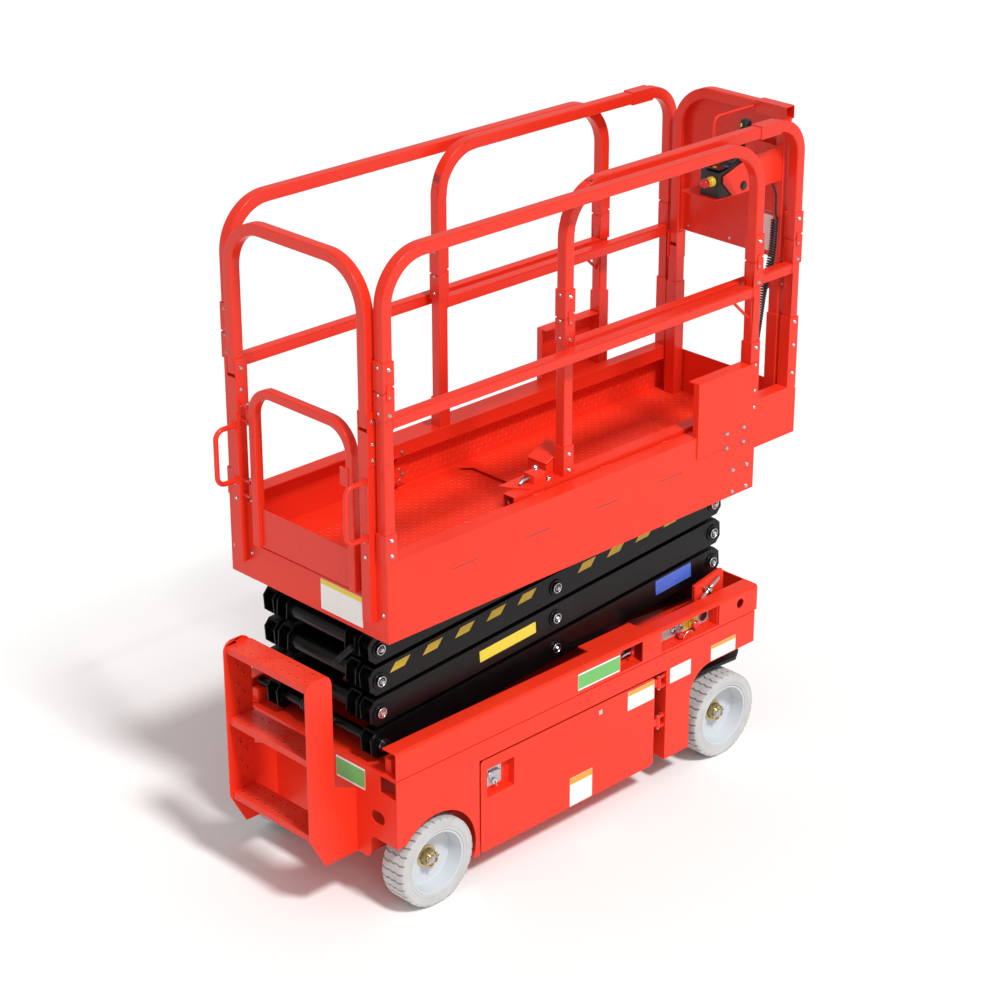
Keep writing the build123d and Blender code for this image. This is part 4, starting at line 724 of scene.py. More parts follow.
@dataclass
class WheelDress:
    """Treaded tyres and the hub hardware of the four wheels.

    Attributes:
        radius: Rolling radius, at the top of the tread.
        half_width: Half the tyre's width.
        bore: Radius of the rim's seat.
        depth: Depth of the grooves.
        blocks: Number of tread blocks.
        groove: Width of the groove between two blocks.
        zigzag: Sideways step of each block's bends.
        middle_y: Middle of the tyre along Y.
        web_y: Face of the rim's web under the washer.
        nut_y: End face of the hub nut.
    """

    radius: float = 152.5
    half_width: float = 50.0
    bore: float = 109.0
    depth: float = 6.5
    blocks: int = 32
    groove: float = 6.5
    zigzag: float = 5.0
    middle_y: float = 330.0
    web_y: float = 322.4
    nut_y: float = 346.5

    def casing(self) -> list[tuple[float, float]]:
        """Profile of the tyre under its blocks, as radius and offset from the middle."""
        floor, half, bead = self.radius - self.depth, self.half_width, self.bore
        side = [(bead + 0.3, half - 4), (bead + 3, half - 0.6), (bead + 10, half), (bead + 11, half - 1.4)]
        side += [(bead + 13.5, half - 1.4), (bead + 14.5, half), (bead + 30, half), (floor - 2, half - 1.2)]
        side += [(floor + 0.6, half - 4), (floor, half - 8)]
        return side + [(r, -h) for r, h in reversed(side)]

    def block_row(self, tyre: Piece, centre: Vector, axis: Vector) -> None:
        """Adds the zigzag blocks across the tread.

        Args:
            tyre: Piece that takes the blocks.
            centre: Middle of the wheel.
            axis: Direction of the wheel's outer face.
        """
        u, v = frame_of(axis)
        top, floor = self.radius, self.radius - self.depth
        pitch = math.tau / self.blocks
        half = pitch / 2 - self.groove / self.radius / 2
        reach = self.half_width
        stations = [(reach - 1.4, top - 6, 0), (reach - 3, top - 2.6, 0), (reach - 8, top - 0.4, 0)]
        stations += [(26, top, 1), (13, top, 0), (0, top, 1), (-13, top, 0), (-26, top, 1)]
        stations += [(8 - reach, top - 0.4, 0), (3 - reach, top - 2.6, 0), (1.4 - reach, top - 6, 0)]
        edges = ((-1.06, 0.0), (-1.0, 0.72), (-0.9, 1.0), (0.9, 1.0), (1.0, 0.72), (1.06, 0.0))
        for n in range(self.blocks):
            points, polygons = [], []
            for across, high, bend in stations:
                base = centre + axis * across
                for share, lift in edges:
                    angle = n * pitch + share * half + bend * self.zigzag / top
                    reach_out = floor - 1 + (high - floor + 1) * lift
                    points.append(base + (u * math.cos(angle) + v * math.sin(angle)) * reach_out)
            width = len(edges)
            for row in range(len(stations) - 1):
                for k in range(width - 1):
                    a = row * width + k
                    polygons.append([a, a + 1, a + 1 + width, a + width])
            last = (len(stations) - 1) * width
            polygons += [list(range(width))[::-1], list(range(last, last + width))]
            tyre.faces(points, polygons, RUBBER_GREY)

    def hub(self, hub: Piece, centre: Vector, out: Vector) -> None:
        """Adds the castle crown, cotter pin and washer on a hub nut.

        Args:
            hub: Piece that takes them.
            centre: Point on the axle line, at the middle plane of the machine.
            out: Direction away from the machine.
        """
        web, nut = centre + out * self.web_y, centre + out * self.nut_y
        hub.turned(web, out, stud(37, 2.6, 1, 0.6, bore=29.5), ZINC_YELLOW, 32, ring=True)
        u, v = frame_of(out)
        lobe = [(20.6, -8), (26, -6), (27.5, 0), (26, 6), (20.6, 8)]
        for a, b in ring_of(1, 6, math.tau / 12):
            hub.cut(lobe, nut, u * a + v * b, v * a - u * b, 7, ZINC_YELLOW, 1.2, sunk=1)
        hub.turned(nut + out * 3, out, stud(15, 5.5, 4, 2.5), TURNED_STEEL)
        pin = nut + out * 3.4
        hub.bar([pin - u * 31 - v * 5, pin - u * 27, pin + u * 27, pin + u * 31 + v * 7], 1.9, ZINC, 8)

    def build(self) -> None:
        """Makes four tyres and four hubs."""
        for end in End:
            for side in Side:
                out = Y_AXIS * side.value
                axle = Vector((end.value, 0, self.radius))
                tyre = Piece(f"tyre_treaded_{end.word}_{side.word}", f"wheel_{end.word}_{side.word}")
                middle = axle + out * self.middle_y
                tyre.turned(middle, out, self.casing(), RUBBER_GREY, 96, ring=True)
                self.block_row(tyre, middle, out)
                tyre.done(replaces=[f"tyre_{end.word}_{side.word}"])
                carrier = "chassis" if end is End.REAR else f"knuckle_{side.word}"
                hub = Piece(f"hub_nut_{end.word}_{side.word}", carrier)
                self.hub(hub, axle, out)
                hub.done()


@dataclass
class SteeringDress:
    """Caps, bolts and rod hardware of the steered axle.

    Attributes:
        kingpin: Kingpin's place along X and Y on the left side.
        roof_z: Top of the knuckle's roof plate.
        eye_x: Steering arm pins along X.
        rod_z: Height of the tie rod.
    """

    kingpin: tuple[float, float] = (657.0, 240.0)
    roof_z: float = 332.0
    eye_x: float = 769.0
    rod_z: float = 339.5

    def build(self) -> None:
        """Dresses both knuckles and the tie rod."""
        for side in Side:
            sign = side.value
            x, y = self.kingpin[0], self.kingpin[1] * sign
            part = Piece(f"kingpin_cap_{side.word}", f"knuckle_{side.word}")
            nose = [(0, 0), (17, 0), (17, 7), (15, 11), (9, 13), (0, 13.6)]
            band = [(0, 0), (19, 0), (20.5, 1.5), (20.5, 5), (19, 6.5), (0, 6.5)]
            for lift, profile, finish, steps in (
                (0, stud(26, 3), ZINC, 28),
                (3, stud(22, 14, 2.5, 2), ZINC, 6),
                (17, band, BRASS, 28),
                (23.5, nose, BUTTON_RED, 28),
            ):
                part.turned((x, y, self.roof_z + lift), Z_AXIS, profile, finish, steps)
            for dx, dy in ((-48, 52), (70, 60), (118, 34), (-20, -16)):
                part.bolt((x + dx, y + sign * dy, self.roof_z), Z_AXIS, 9, ZINC, turn=0.4)
            part.bolt((self.eye_x, y, self.roof_z + 17.5), Z_AXIS, 12, ZINC)
            for dz in (-88, -40, 60):
                part.bolt((x + 40, y + sign * 35, 240 + dz), Y_AXIS * sign, 8, ENAMEL_CAST)
            part.done()
        rod = Piece("tie_rod_locknuts", "tie_rod")
        for sign in (1, -1):
            for start, size in ((172, 11), (159, 10)):
                rod.turned((self.eye_x, sign * start, self.rod_z), Y_AXIS * sign, stud(size, 8), ZINC, 6)
        rod.done()


@dataclass
class PinDress:
    """Bosses, rings and bolts on the ends of the arms' pins.

    Attributes:
        face: Outer face of the outer arms.
        end: End face of the pins.
        rear_x: Rear pins along X.
        middle_x: Crossing pins along X.
        front_x: Front pins along X.
        base: Height of the lowest pins.
        pitch: Height between two levels.
    """

    face: float = 248.0
    end: float = 257.0
    rear_x: float = -809.0
    middle_x: float = -49.0
    front_x: float = 711.0
    base: float = 572.0
    pitch: float = 108.5

    def one(self, part: Piece, x: float, z: float, out: Vector, red: bool) -> None:
        """Adds the boss, ring and bolt of one pin end.

        Args:
            part: Piece that takes them.
            x: Pin's place along X.
            z: Pin's height.
            out: Direction away from the machine.
            red: Whether the ring's inner band is painted red.
        """
        at = Vector((x, 0, z))
        boss = stud(28, 4.4, 1.5, 1.4, bore=18.2)
        part.turned(at + out * self.face, out, boss, ENAMEL_BLACK, 28, ring=True)
        circlip = [(13.6, 0), (17.8, 0), (17.8, 1.6), (16.8, 2.6), (14.4, 2.6), (13.6, 1.6)]
        part.turned(at + out * self.end, out, circlip, TURNED_STEEL, 28, ring=True)
        part.turned(at + out * self.end, out, stud(13.2, 1), FILM_RED if red else ENAMEL_BLACK, 28)
        part.bolt(at + out * (self.end + 1), out, 8, ZINC, turn=x * 0.01 + z * 0.03)

    def slide_shaft(self, part: Piece) -> None:
        """Adds the collars on the lowest rear shaft and the rings on its left half."""
        shaft = Vector((self.rear_x, 0, self.base))
        for side in Side:
            out = Y_AXIS * side.value
            part.turned(shaft + out * 262, out, stud(21, 5, bore=14.7), TURNED_STEEL, 28, ring=True)
        band = [(18.2, -3.5), (24, -3.5), (25, -2), (25, 2), (24, 3.5), (18.2, 3.5)]
        for y in (74, 84, 94, 104):
            part.turned(shaft + Y_AXIS * y, Y_AXIS, band, NYLON_BLACK, 28, ring=True)

    def build(self) -> None:
        """Dresses the pins that each outer and inner pair carries."""
        painted = ((self.rear_x, 1), (self.front_x, 3))
        for stage in range(1, 5):
            rear, front = [(self.rear_x, stage - 1)] * (stage > 1), [(self.front_x, stage)] * (stage < 4)
            crossing = [(self.middle_x, stage - 0.5)]
            for body, spots in ((f"outer_{stage}", rear + front), (f"inner_{stage}", crossing)):
                part = Piece(f"pin_ends_{body}", body)
                for side in Side:
                    for x, level in spots:
                        red = side is Side.RIGHT and (x, level) in painted
                        self.one(part, x, self.base + level * self.pitch, Y_AXIS * side.value, red)
                if body == "outer_1":
                    self.slide_shaft(part)
                part.done()

# ------------------------------------------------------------------ printed films


@dataclass(frozen=True)
class Film:
    """A blank printed film and its bands of colour.

    Attributes:
        name: Name of the piece.
        body: Body it sticks to.
        corner: Lower corner on the surface, first seen from outside.
        along: Direction of its width.
        up: Direction of its height.
        size: Width and height.
        ground: Finish of its ground.
        bands: Start and end of each band as shares of the height, with its finish.
    """

    name: str
    body: str
    corner: Point
    along: Point
    up: Point
    size: tuple[float, float]
    ground: Finish
    bands: tuple[tuple[float, float, Finish], ...] = ()

    def build(self) -> None:
        """Sticks the film on."""
        along, up = Vector(self.along).normalized(), Vector(self.up).normalized()
        width, height = self.size
        part = Piece(self.name, self.body)
        foot = Vector(self.corner) + along * width / 2
        part.cut(rounded(width, height, 2.5), foot + up * height / 2, along, up, 0.35, self.ground, 0.1)
        for low, high, finish in self.bands:
            at = foot + up * height * (low + high) / 2
            part.cut(rounded(width - 1.6, height * (high - low) - 1.2, 1.5), at, along, up, 0.6, finish, 0.1)
        part.done()


@dataclass
class FilmSet:
    """Blank films and hazard stripes, each where the machine carries one.

    Attributes:
        side: Direction of width on the right side.
        rear: Direction of width on faces that look to the rear.
        rise: Slope of the outer arms.
        stripe: Length, height and lean of one hazard stripe.
        stripe_pitch: Distance between two stripes.
        stripe_x: First and last stripe along X.
        stripe_middle: Middle of the striped arm.
        stripe_gap: Half the length left free round the middle pin.
    """

    side: Point = (1, 0, 0)
    rear: Point = (0, -1, 0)
    rise: float = 0.07138
    stripe: tuple[float, float, float] = (62.0, 27.0, 26.0)
    stripe_pitch: float = 137.0
    stripe_x: tuple[float, float] = (-738.0, 640.0)
    stripe_middle: Point = (-49.0, -248.0, 843.25)
    stripe_gap: float = 60.0

    def films(self) -> list[Film]:
        """Places of all the films."""
        side, rear, up = self.side, self.rear, (0, 0, 1)
        slope, across = (1, 0, self.rise), (-self.rise, 0, 1)
        warn, entry = ((0.76, 1.0, FILM_ORANGE),), ((0.82, 1.0, FILM_YELLOW),)
        green = ((0.08, 0.92, FILM_GREEN),)
        red = ((0.90, 1.0, FILM_RED),)
        return [
            Film("film_blue", "outer_1", (434, -248, 646), slope, across, (176, 54), FILM_BLUE),
            Film("film_yellow", "outer_2", (-386, -248, 694), slope, across, (250, 40), FILM_YELLOW),
            Film("film_green_side", "chassis", (-71, -375, 522), side, up, (196, 60), FILM_WHITE, green),
            Film("film_door_front", "tray_right", (168, -375, 356), side, up, (128, 70), FILM_WHITE, warn),
            Film("film_door_low", "tray_right", (-103, -375, 104), side, up, (105, 106), FILM_WHITE, warn),
            Film("film_pillar", "chassis", (374, -375, 382), side, up, (104, 57), FILM_WHITE),
            Film("film_front_wheel", "chassis", (580, -375, 391), side, up, (126, 58), FILM_WHITE, warn),
            Film("film_rear_lip", "chassis", (-863, -97, 419), rear, up, (134, 74), FILM_WHITE, green),
            Film("film_entry", "platform", (-874.2, -62, 992), rear, up, (190, 102), FILM_WHITE, entry),
            Film("film_front_panel", "extension", (1037, -137, 1702), rear, up, (101, 138), FILM_WHITE, red),
        ]

    def hazard(self) -> None:
        """Sticks the row of leaning stripes on the upper half of the third right arm."""
        part = Piece("hazard_stripes", "outer_3")
        length, height, lean = self.stripe
        along, up = Vector((1, 0, self.rise)).normalized(), Vector((-self.rise, 0, 1)).normalized()
        middle = Vector(self.stripe_middle)
        shape = [(0, 0), (length, 0), (length + lean, height), (lean, height)]
        low, high = self.stripe_x
        for n in range(int((high - low) // self.stripe_pitch) + 1):
            run = low + n * self.stripe_pitch - middle.x
            if abs(run) > self.stripe_gap:
                part.cut(shape, middle + along * (run - length / 2) + up * 8, along, up, 0.3, FILM_HAZARD)
        part.done()

    def build(self) -> None:
        """Sticks on every film."""
        for film in self.films():
            film.build()
        self.hazard()


# ------------------------------------------------------------------ tread sheets


@dataclass
class TreadSheets:
    """Raised lens pattern of the floors and the toe boards.

    Attributes:
        length: Length of one lens.
        width: Width of one lens.
        height: Height of one lens.
        pitch: Distance between two lenses.
    """

    length: float = 19.0
    width: float = 5.6
    height: float = 0.9
    pitch: float = 19.0

    def cover(
        self,
        part: Piece,
        origin: Point,
        u: Vector,
        v: Vector,
        size: tuple[float, float],
        keep: Callable[[float, float], bool] | None = None,
    ) -> None:
        """Covers a rectangle with lenses that lean both ways in turn.

        Args:
            part: Piece that takes the lenses.
            origin: Corner of the rectangle.
            u: First direction of the rectangle.
            v: Second direction; the lenses rise along u x v.
            size: Size along both.
            keep: Says whether a lens may stand at a place along both.
        """
        normal = u.cross(v)
        rows, columns = int(size[1] // self.pitch), int(size[0] // self.pitch)
        half, side, ridge, foot = self.length / 2, self.width / 2, self.length / 4, -0.1
        lens = [(-half, 0, foot), (0, -side, foot), (half, 0, foot), (0, side, foot)]
        lens += [(-ridge, 0, self.height), (ridge, 0, self.height)]
        slopes = [(0, 1, 4), (1, 5, 4), (1, 2, 5), (2, 3, 5), (3, 4, 5), (3, 0, 4)]
        for row in range(rows):
            for column in range(columns):
                a, b = (column + 0.5) * self.pitch, (row + 0.5) * self.pitch
                if keep and not keep(a, b):
                    continue
                turn = math.pi / 4 if (row + column) % 2 else -math.pi / 4
                c, s = math.cos(turn), math.sin(turn)
                middle = Vector(origin) + u * a + v * b
                points = [middle + u * (p * c - q * s) + v * (p * s + q * c) + normal * h for p, q, h in lens]
                part.faces(points, slopes, POWDER_TREAD)

    def build(self) -> None:
        """Covers the two floors and both toe boards."""
        rear = Piece("floor_tread_rear", "platform")
        self.cover(rear, (-866, -240, 1070), X_AXIS, Y_AXIS, (912, 480))
        rear.done()
        front = Piece("floor_tread_extension", "extension")
        corner, margin, width = 40, 26, 552
        low, high = margin + corner, width - margin - corner
        origin, size = (52, -276, 1082), (998, width)
        self.cover(front, origin, X_AXIS, Y_AXIS, size, lambda a, b: a > corner or low < b < high)
        front.done()
        boards = Piece("toe_board_tread", "extension")
        self.cover(boards, (-236, 299, 1090), X_AXIS, Z_AXIS, (1240, 110))
        self.cover(boards, (1000, -299, 1090), -X_AXIS, Z_AXIS, (1240, 110))
        boards.done()

# ------------------------------------------------------------------ platform hardware


@dataclass
class RailHardware:
    """Bolts, hooks and welds of the guard rails and the platform's sheets.

    Attributes:
        half: Half the width of a post or bracket.
        side_y: Main rails' posts along Y.
        extension_y: Extension's posts along Y.
        front_post: Front posts along X and Y.
        hoop_post: Rear hoop's posts along X and Y.
        heights: Bolts of a split bracket.
        hook_z: Height of the hook on a split bracket.
        weld_z: Height of the middle rails.
        weld_reach: Distance from a post's middle to its weld.
        main_posts: Main rails' posts along X, each with the heights of its lower bolts.
        extension_posts: The same for the extension's posts.
        end_x: Rear face of the platform's end plate along X.
        sill_y: Outer face of the platform's sills along Y.
        toe_y: Toe boards along Y.
        toe_rear: Rear ends of the toe boards, along X.
        toe_top: Height of the toe boards' top edge at their rear ends.
    """

    half: float = 22.0
    side_y: float = 343.0
    extension_y: float = 281.0
    front_post: tuple[float, float] = (1024.0, 227.0)
    hoop_post: tuple[float, float] = (-880.0, 297.0)
    heights: tuple[float, ...] = (1706, 1762, 1846)
    hook_z: float = 1779.0
    weld_z: float = 1675.0
    weld_reach: float = 19.5
    main_posts: tuple = ((-855, (1262, 1312)), (760, (1270, 1330, 1420, 1480)))
    extension_posts: tuple = ((-52, (1272, 1326)), (1030, (1300, 1400, 1484)))
    end_x: float = -874.0
    sill_y: float = 365.0
    toe_y: float = 295.0
    toe_rear: float = -246.0
    toe_top: float = 1204.0

    def post(self, part: Piece, x: float, y: float, side: Side, lower: Sequence[float]) -> None:
        """Adds the bolts, hook and weld of one post with its split bracket.

        Args:
            part: Piece that takes them.
            x: Post's place along X. Bolts also show on the rear face of a rear post.
            y: Post's distance from the middle plane.
            side: Side of the machine.
            lower: Heights of the bolts at its foot.
        """
        out, y, rear = Y_AXIS * side.value, y * side.value, x < 0
        face = y + out.y * self.half
        for n, z in enumerate(self.heights):
            part.bolt((x, face, z), out, 6, ZINC, domed=n % 2 == 1, turn=0.3 * n)
            if rear:
                part.bolt((x - self.half, y, z + 6), -X_AXIS, 5, ZINC, domed=True)
        hook = [(-9, -26), (9, -26), (9, 12), (4, 20), (-9, 20)]
        part.cut(hook, (x, face, self.hook_z), X_AXIS, Z_AXIS * -out.y, 3, POWDER_TUBE, 0.6)
        for z in lower:
            part.bolt((x, face, z), out, 6, ZINC, turn=0.5)
        seam = x + self.weld_reach * (1 if rear else -1)
        bead = [Vector((seam, y + a, self.weld_z + b)) for a, b in rounded(36, 36, 5, 3)]
        part.bar(bead, 2.4, POWDER_TUBE, 6, closed=True)

    def sheets(self, part: Piece, side: Side) -> None:
        """Adds one side's bolts, slots and tabs on the sills."""
        out = Y_AXIS * side.value
        for xs, heights, face, turn in (
            ((624, 708), (1165, 1216), self.sill_y + 4, 0.1),
            ((666, 735), (994, 1072), self.sill_y, 0.4),
        ):
            for x in xs:
                for z in heights:
                    part.bolt((x, out.y * face, z), out, 7, ZINC, turn=turn + x * 0.01)
        for x in (-560, -250, 60, 360):
            at = (x, out.y * self.sill_y, 1139)
            part.cut(rounded(110, 2, 0.9), at, Z_AXIS.cross(out), Z_AXIS, 0.25, DIAL_DARK)
        tab = [(-24, 0), (24, 0), (3, 15), (-3, 15)]
        for x in (-488, -191, 111, 400):
            part.cut(tab, (x, out.y * 309, 1239), X_AXIS * out.y, out, 2.6, POWDER_RED, 0.6)

    def build(self) -> None:
        """Dresses the rails and sheets on each body."""
        fixed = Piece("rail_bolts_platform", "platform")
        sliding = Piece("rail_bolts_extension", "extension")
        for side in Side:
            out = Y_AXIS * side.value
            for x, lower in self.main_posts:
                self.post(fixed, x, self.side_y, side, lower)
            for x, lower in self.extension_posts:
                self.post(sliding, x, self.extension_y, side, lower)
            x, y = self.hoop_post[0], self.hoop_post[1] * side.value
            for z in (1560, 1610, 1680):
                for way in (out, -out):
                    fixed.bolt((x, y + way.y * self.half, z), way, 6, ZINC, domed=z < 1680)
            for z in (1250, 1300):
                fixed.bolt((x - 19, y, z), -X_AXIS, 6, ZINC, domed=True)
            x, y = self.front_post[0], self.front_post[1] * side.value
            for z in (1606, 1660):
                sliding.bolt((x, y + out.y * self.half, z), out, 6, ZINC)
            for z in (1218, 1141):
                sliding.bolt((self.toe_rear - 2, 255 * side.value, z), -out, 7, ZINC)
            self.sheets(fixed, side)
        for y in (-345, -262, 262, 345):
            fixed.bolt((self.end_x, y, 1068), -X_AXIS, 7, ZINC, domed=True)
        fixed.cut(rounded(616, 62, 3), (self.end_x, 0, 1009), -Y_AXIS, Z_AXIS, 0.1, POWDER_RED)
        fixed.done()
        sliding.done()
        self.toe_ends()
        self.gate()

    def toe_ends(self) -> None:
        """Closing plates on the rear ends of both toe boards, with their bolts and studs."""
        part = Piece("toe_board_ends", "extension")
        plate = [(-44, -118), (46, -118), (46, 0), (30, 0), (-44, -92)]
        for side in Side:
            sign = side.value
            outline = plate if sign > 0 else [(-a, b) for a, b in reversed(plate)]
            at = (self.toe_rear, sign * self.toe_y, self.toe_top)
            part.cut(outline, at, X_AXIS * sign, Z_AXIS, 3, POWDER_RED, 0.5)
            for x in (-262, -226):
                for z in (1102, 1140):
                    part.bolt((x, sign * (self.toe_y - 3), z), Y_AXIS * -sign, 6, ZINC, turn=0.2 + x * 0.01)
            part.turned((self.toe_rear - 42, sign * 279, 1228), -X_AXIS, stud(7, 5), ZINC, 6)
        part.done()

    def gate(self) -> None:
        """Latch and hinge caps of the entry gate, and the bosses on the hoop's posts."""
        gate = Piece("gate_latch", "gate")
        gate.cut(rounded(34, 60, 4, 3), (-895, -209, 1480), -Y_AXIS, Z_AXIS, 4, POWDER_TUBE, 0.8)
        gate.bar([(-882, -224, 1460), (-882, -244, 1460), (-882, -262, 1466)], 6, ZINC, 12)
        gate.done()
        caps = Piece("gate_hinge_caps", "platform")
        for z in (1290, 1540):
            for lift in (33, -37):
                caps.turned((-880, 242, z + lift), Z_AXIS, stud(8.5, 4.5, 2, 1.5), ZINC, 20)
        for sign in (1, -1):
            for z in (1310, 1490):
                boss = stud(15, 5, 5.5, 2.5, bore=8.2)
                caps.turned((-899, sign * 297, z), -X_AXIS, boss, POWDER_TUBE, 20, ring=True)
        caps.done()


@dataclass
class SlideLock:
    """Lock of the sliding deck on top of its right slide tube.

    Attributes:
        top: Top face of the tube.
        plate: Outline of the base plate along X and Y.
    """

    top: float = 1252.0
    plate: tuple[Point, ...] = (
        (-268, -214), (-262, -236), (-216, -300), (-150, -302), (-92, -286), (-84, -262), (-88, -206),
    )

    def build(self) -> None:
        """Makes the plate, the pedal box and the bolts."""
        part = Piece("slide_lock", "extension")
        part.cut(list(reversed(self.plate)), (0, 0, self.top), X_AXIS, Y_AXIS, 5, POWDER_RED, 1)
        part.cut(rounded(54, 46, 3, 3), (-160, -262, self.top + 5), X_AXIS, Y_AXIS, 30, POWDER_RED, 1.5)
        box = [(-42, -36), (42, -36), (42, 34), (-42, 34)]
        part.cut(box, (-62, -216, self.top + 2), X_AXIS, Y_AXIS, 44, POWDER_RED, 1.5)
        lid_u = Vector((1, 0, 0.38)).normalized()
        part.cut(rounded(98, 84, 5, 3), (-62, -217, self.top + 58), lid_u, Y_AXIS, 4, POWDER_RED, 1)
        skirt = [Vector((-16, y, self.top + z)) for y, z in ((-257, 6), (-176, 6), (-176, 70), (-257, 70))]
        part.faces(
            skirt + [p - X_AXIS * 90 - Z_AXIS * lift for p, lift in zip(skirt, (0, 0, 34, 34))],
            [(0, 1, 2, 3), (4, 7, 6, 5), (0, 3, 7, 4), (1, 5, 6, 2), (3, 2, 6, 7), (0, 4, 5, 1)],
            POWDER_RED,
        )
        for x, y, lift in ((-197, -247, 5), (-142, -246, 35), (-124, -285, 5)):
            part.bolt((x, y, self.top + lift), Z_AXIS, 10, ZINC, turn=0.3 + x * 0.01)
        handle = [(x, -262, self.top + lift) for x, lift in ((-176, 20), (-214, 20), (-226, 12))]
        part.bar(handle, 5, ZINC, 10)
        part.done()

# ------------------------------------------------------------------ controls


def mushroom(part: Piece, at: Point, axis: Vector, radius: float, reach: float) -> None:
    """Adds an emergency stop: yellow collar, neck and red mushroom head.

    Args:
        part: Piece that takes it.
        at: Middle of its foot.
        axis: Way it points.
        radius: Radius of the head.
        reach: Height from foot to crown.
    """
    neck = ((0.55, 0.3), (0.55, 0.6), (0, 0.6))
    head = ((0, 0.55), (0.7, 0.55), (0.97, 0.64), (0.97, 0.78), (0.75, 0.94), (0, 1))
    part.turned(at, axis, stud(radius, reach * 0.34, radius * 0.2, reach * 0.12), FILM_YELLOW, 28)
    for shares, finish, steps in ((neck, FILM_YELLOW, 20), (head, BUTTON_RED, 28)):
        part.turned(at, axis, [(radius * r, reach * h) for r, h in shares], finish, steps)


@dataclass
class LowerControls:
    """Controls in the recess of the right slide rail.

    Attributes:
        face: Plane of the panel along Y.
        middle: Height of the controls' middle.
        sheet: Thickness of the printed panel.
        panel_x: Middle of the panel along X.
        stop_x: Stop button along X.
        key_x: Key switch along X.
        gauge_x: Gauge along X.
        toggle_x: Toggle switch along X, with the key ring below it.
        screw_x: Screws along X.
    """

    face: float = -329.5
    middle: float = 545.0
    sheet: float = 1.6
    panel_x: float = 493.0
    stop_x: float = 520.0
    key_x: float = 431.0
    gauge_x: float = 580.0
    toggle_x: float = 466.0
    screw_x: tuple[float, float] = (383.0, 603.0)

    def build(self) -> None:
        """Makes the panel and everything on it."""
        part = Piece("lower_controls", "chassis")
        y, z = self.face, self.middle
        front = y - self.sheet
        part.cut(rounded(234, 46, 3), (self.panel_x, y, z), X_AXIS, Z_AXIS, self.sheet, PANEL_GREY, 0.4)
        part.cut(rounded(72, 42, 4), (self.stop_x - 4, front, z), X_AXIS, Z_AXIS, 0.7, FILM_YELLOW, 0.2)
        mushroom(part, (self.stop_x, y - 2, z - 1), -Y_AXIS, 16, 30)
        key = [(0, 0), (13, 0), (13, 4), (10, 7), (5, 8), (0, 8)]
        part.turned((self.key_x, front, z + 2), -Y_AXIS, key, ZINC, 24)
        # Dark bar on the key barrel: painted shade of the keyway.
        part.cut(rounded(3, 12, 1), (self.key_x, front - 8, z + 2), X_AXIS, Z_AXIS, 2, DIAL_DARK)
        dial = [(0, 0), (17.5, 0), (17.5, 4.5), (15, 4), (15, 2.6), (0, 2.6)]
        gauge = (self.gauge_x, front, z + 4)
        part.turned(gauge, -Y_AXIS, dial, DIAL_DARK, 32)
        part.turned(gauge, -Y_AXIS, stud(18.4, 4, bore=15.4), ZINC, 32, ring=True)
        toggle = [(0, 0), (10, 0), (10, 3), (4, 4), (3, 16), (4.5, 18), (0, 19)]
        part.turned((self.toggle_x, front, z + 2), -Y_AXIS, toggle, ZINC, 20)
        for x in self.screw_x:
            for lift in (-17, 17):
                part.bolt((x, front, z + lift), -Y_AXIS, 3.5, ZINC, domed=True)
        loop = [(self.toggle_x + 2 + a, y - 36 - b * 6 / 23, z - 22 + b) for a, b in ring_of(23, 24)]
        part.bar(loop, 1.7, ZINC, 8, closed=True)
        knob = [(0, 0), (6, 0), (6, 12), (13, 14), (14, 24), (9, 29), (0, 30)]
        part.turned((self.toggle_x - 18, y - 4, z - 17), -Y_AXIS, knob, BUTTON_RED, 24)
        part.done()


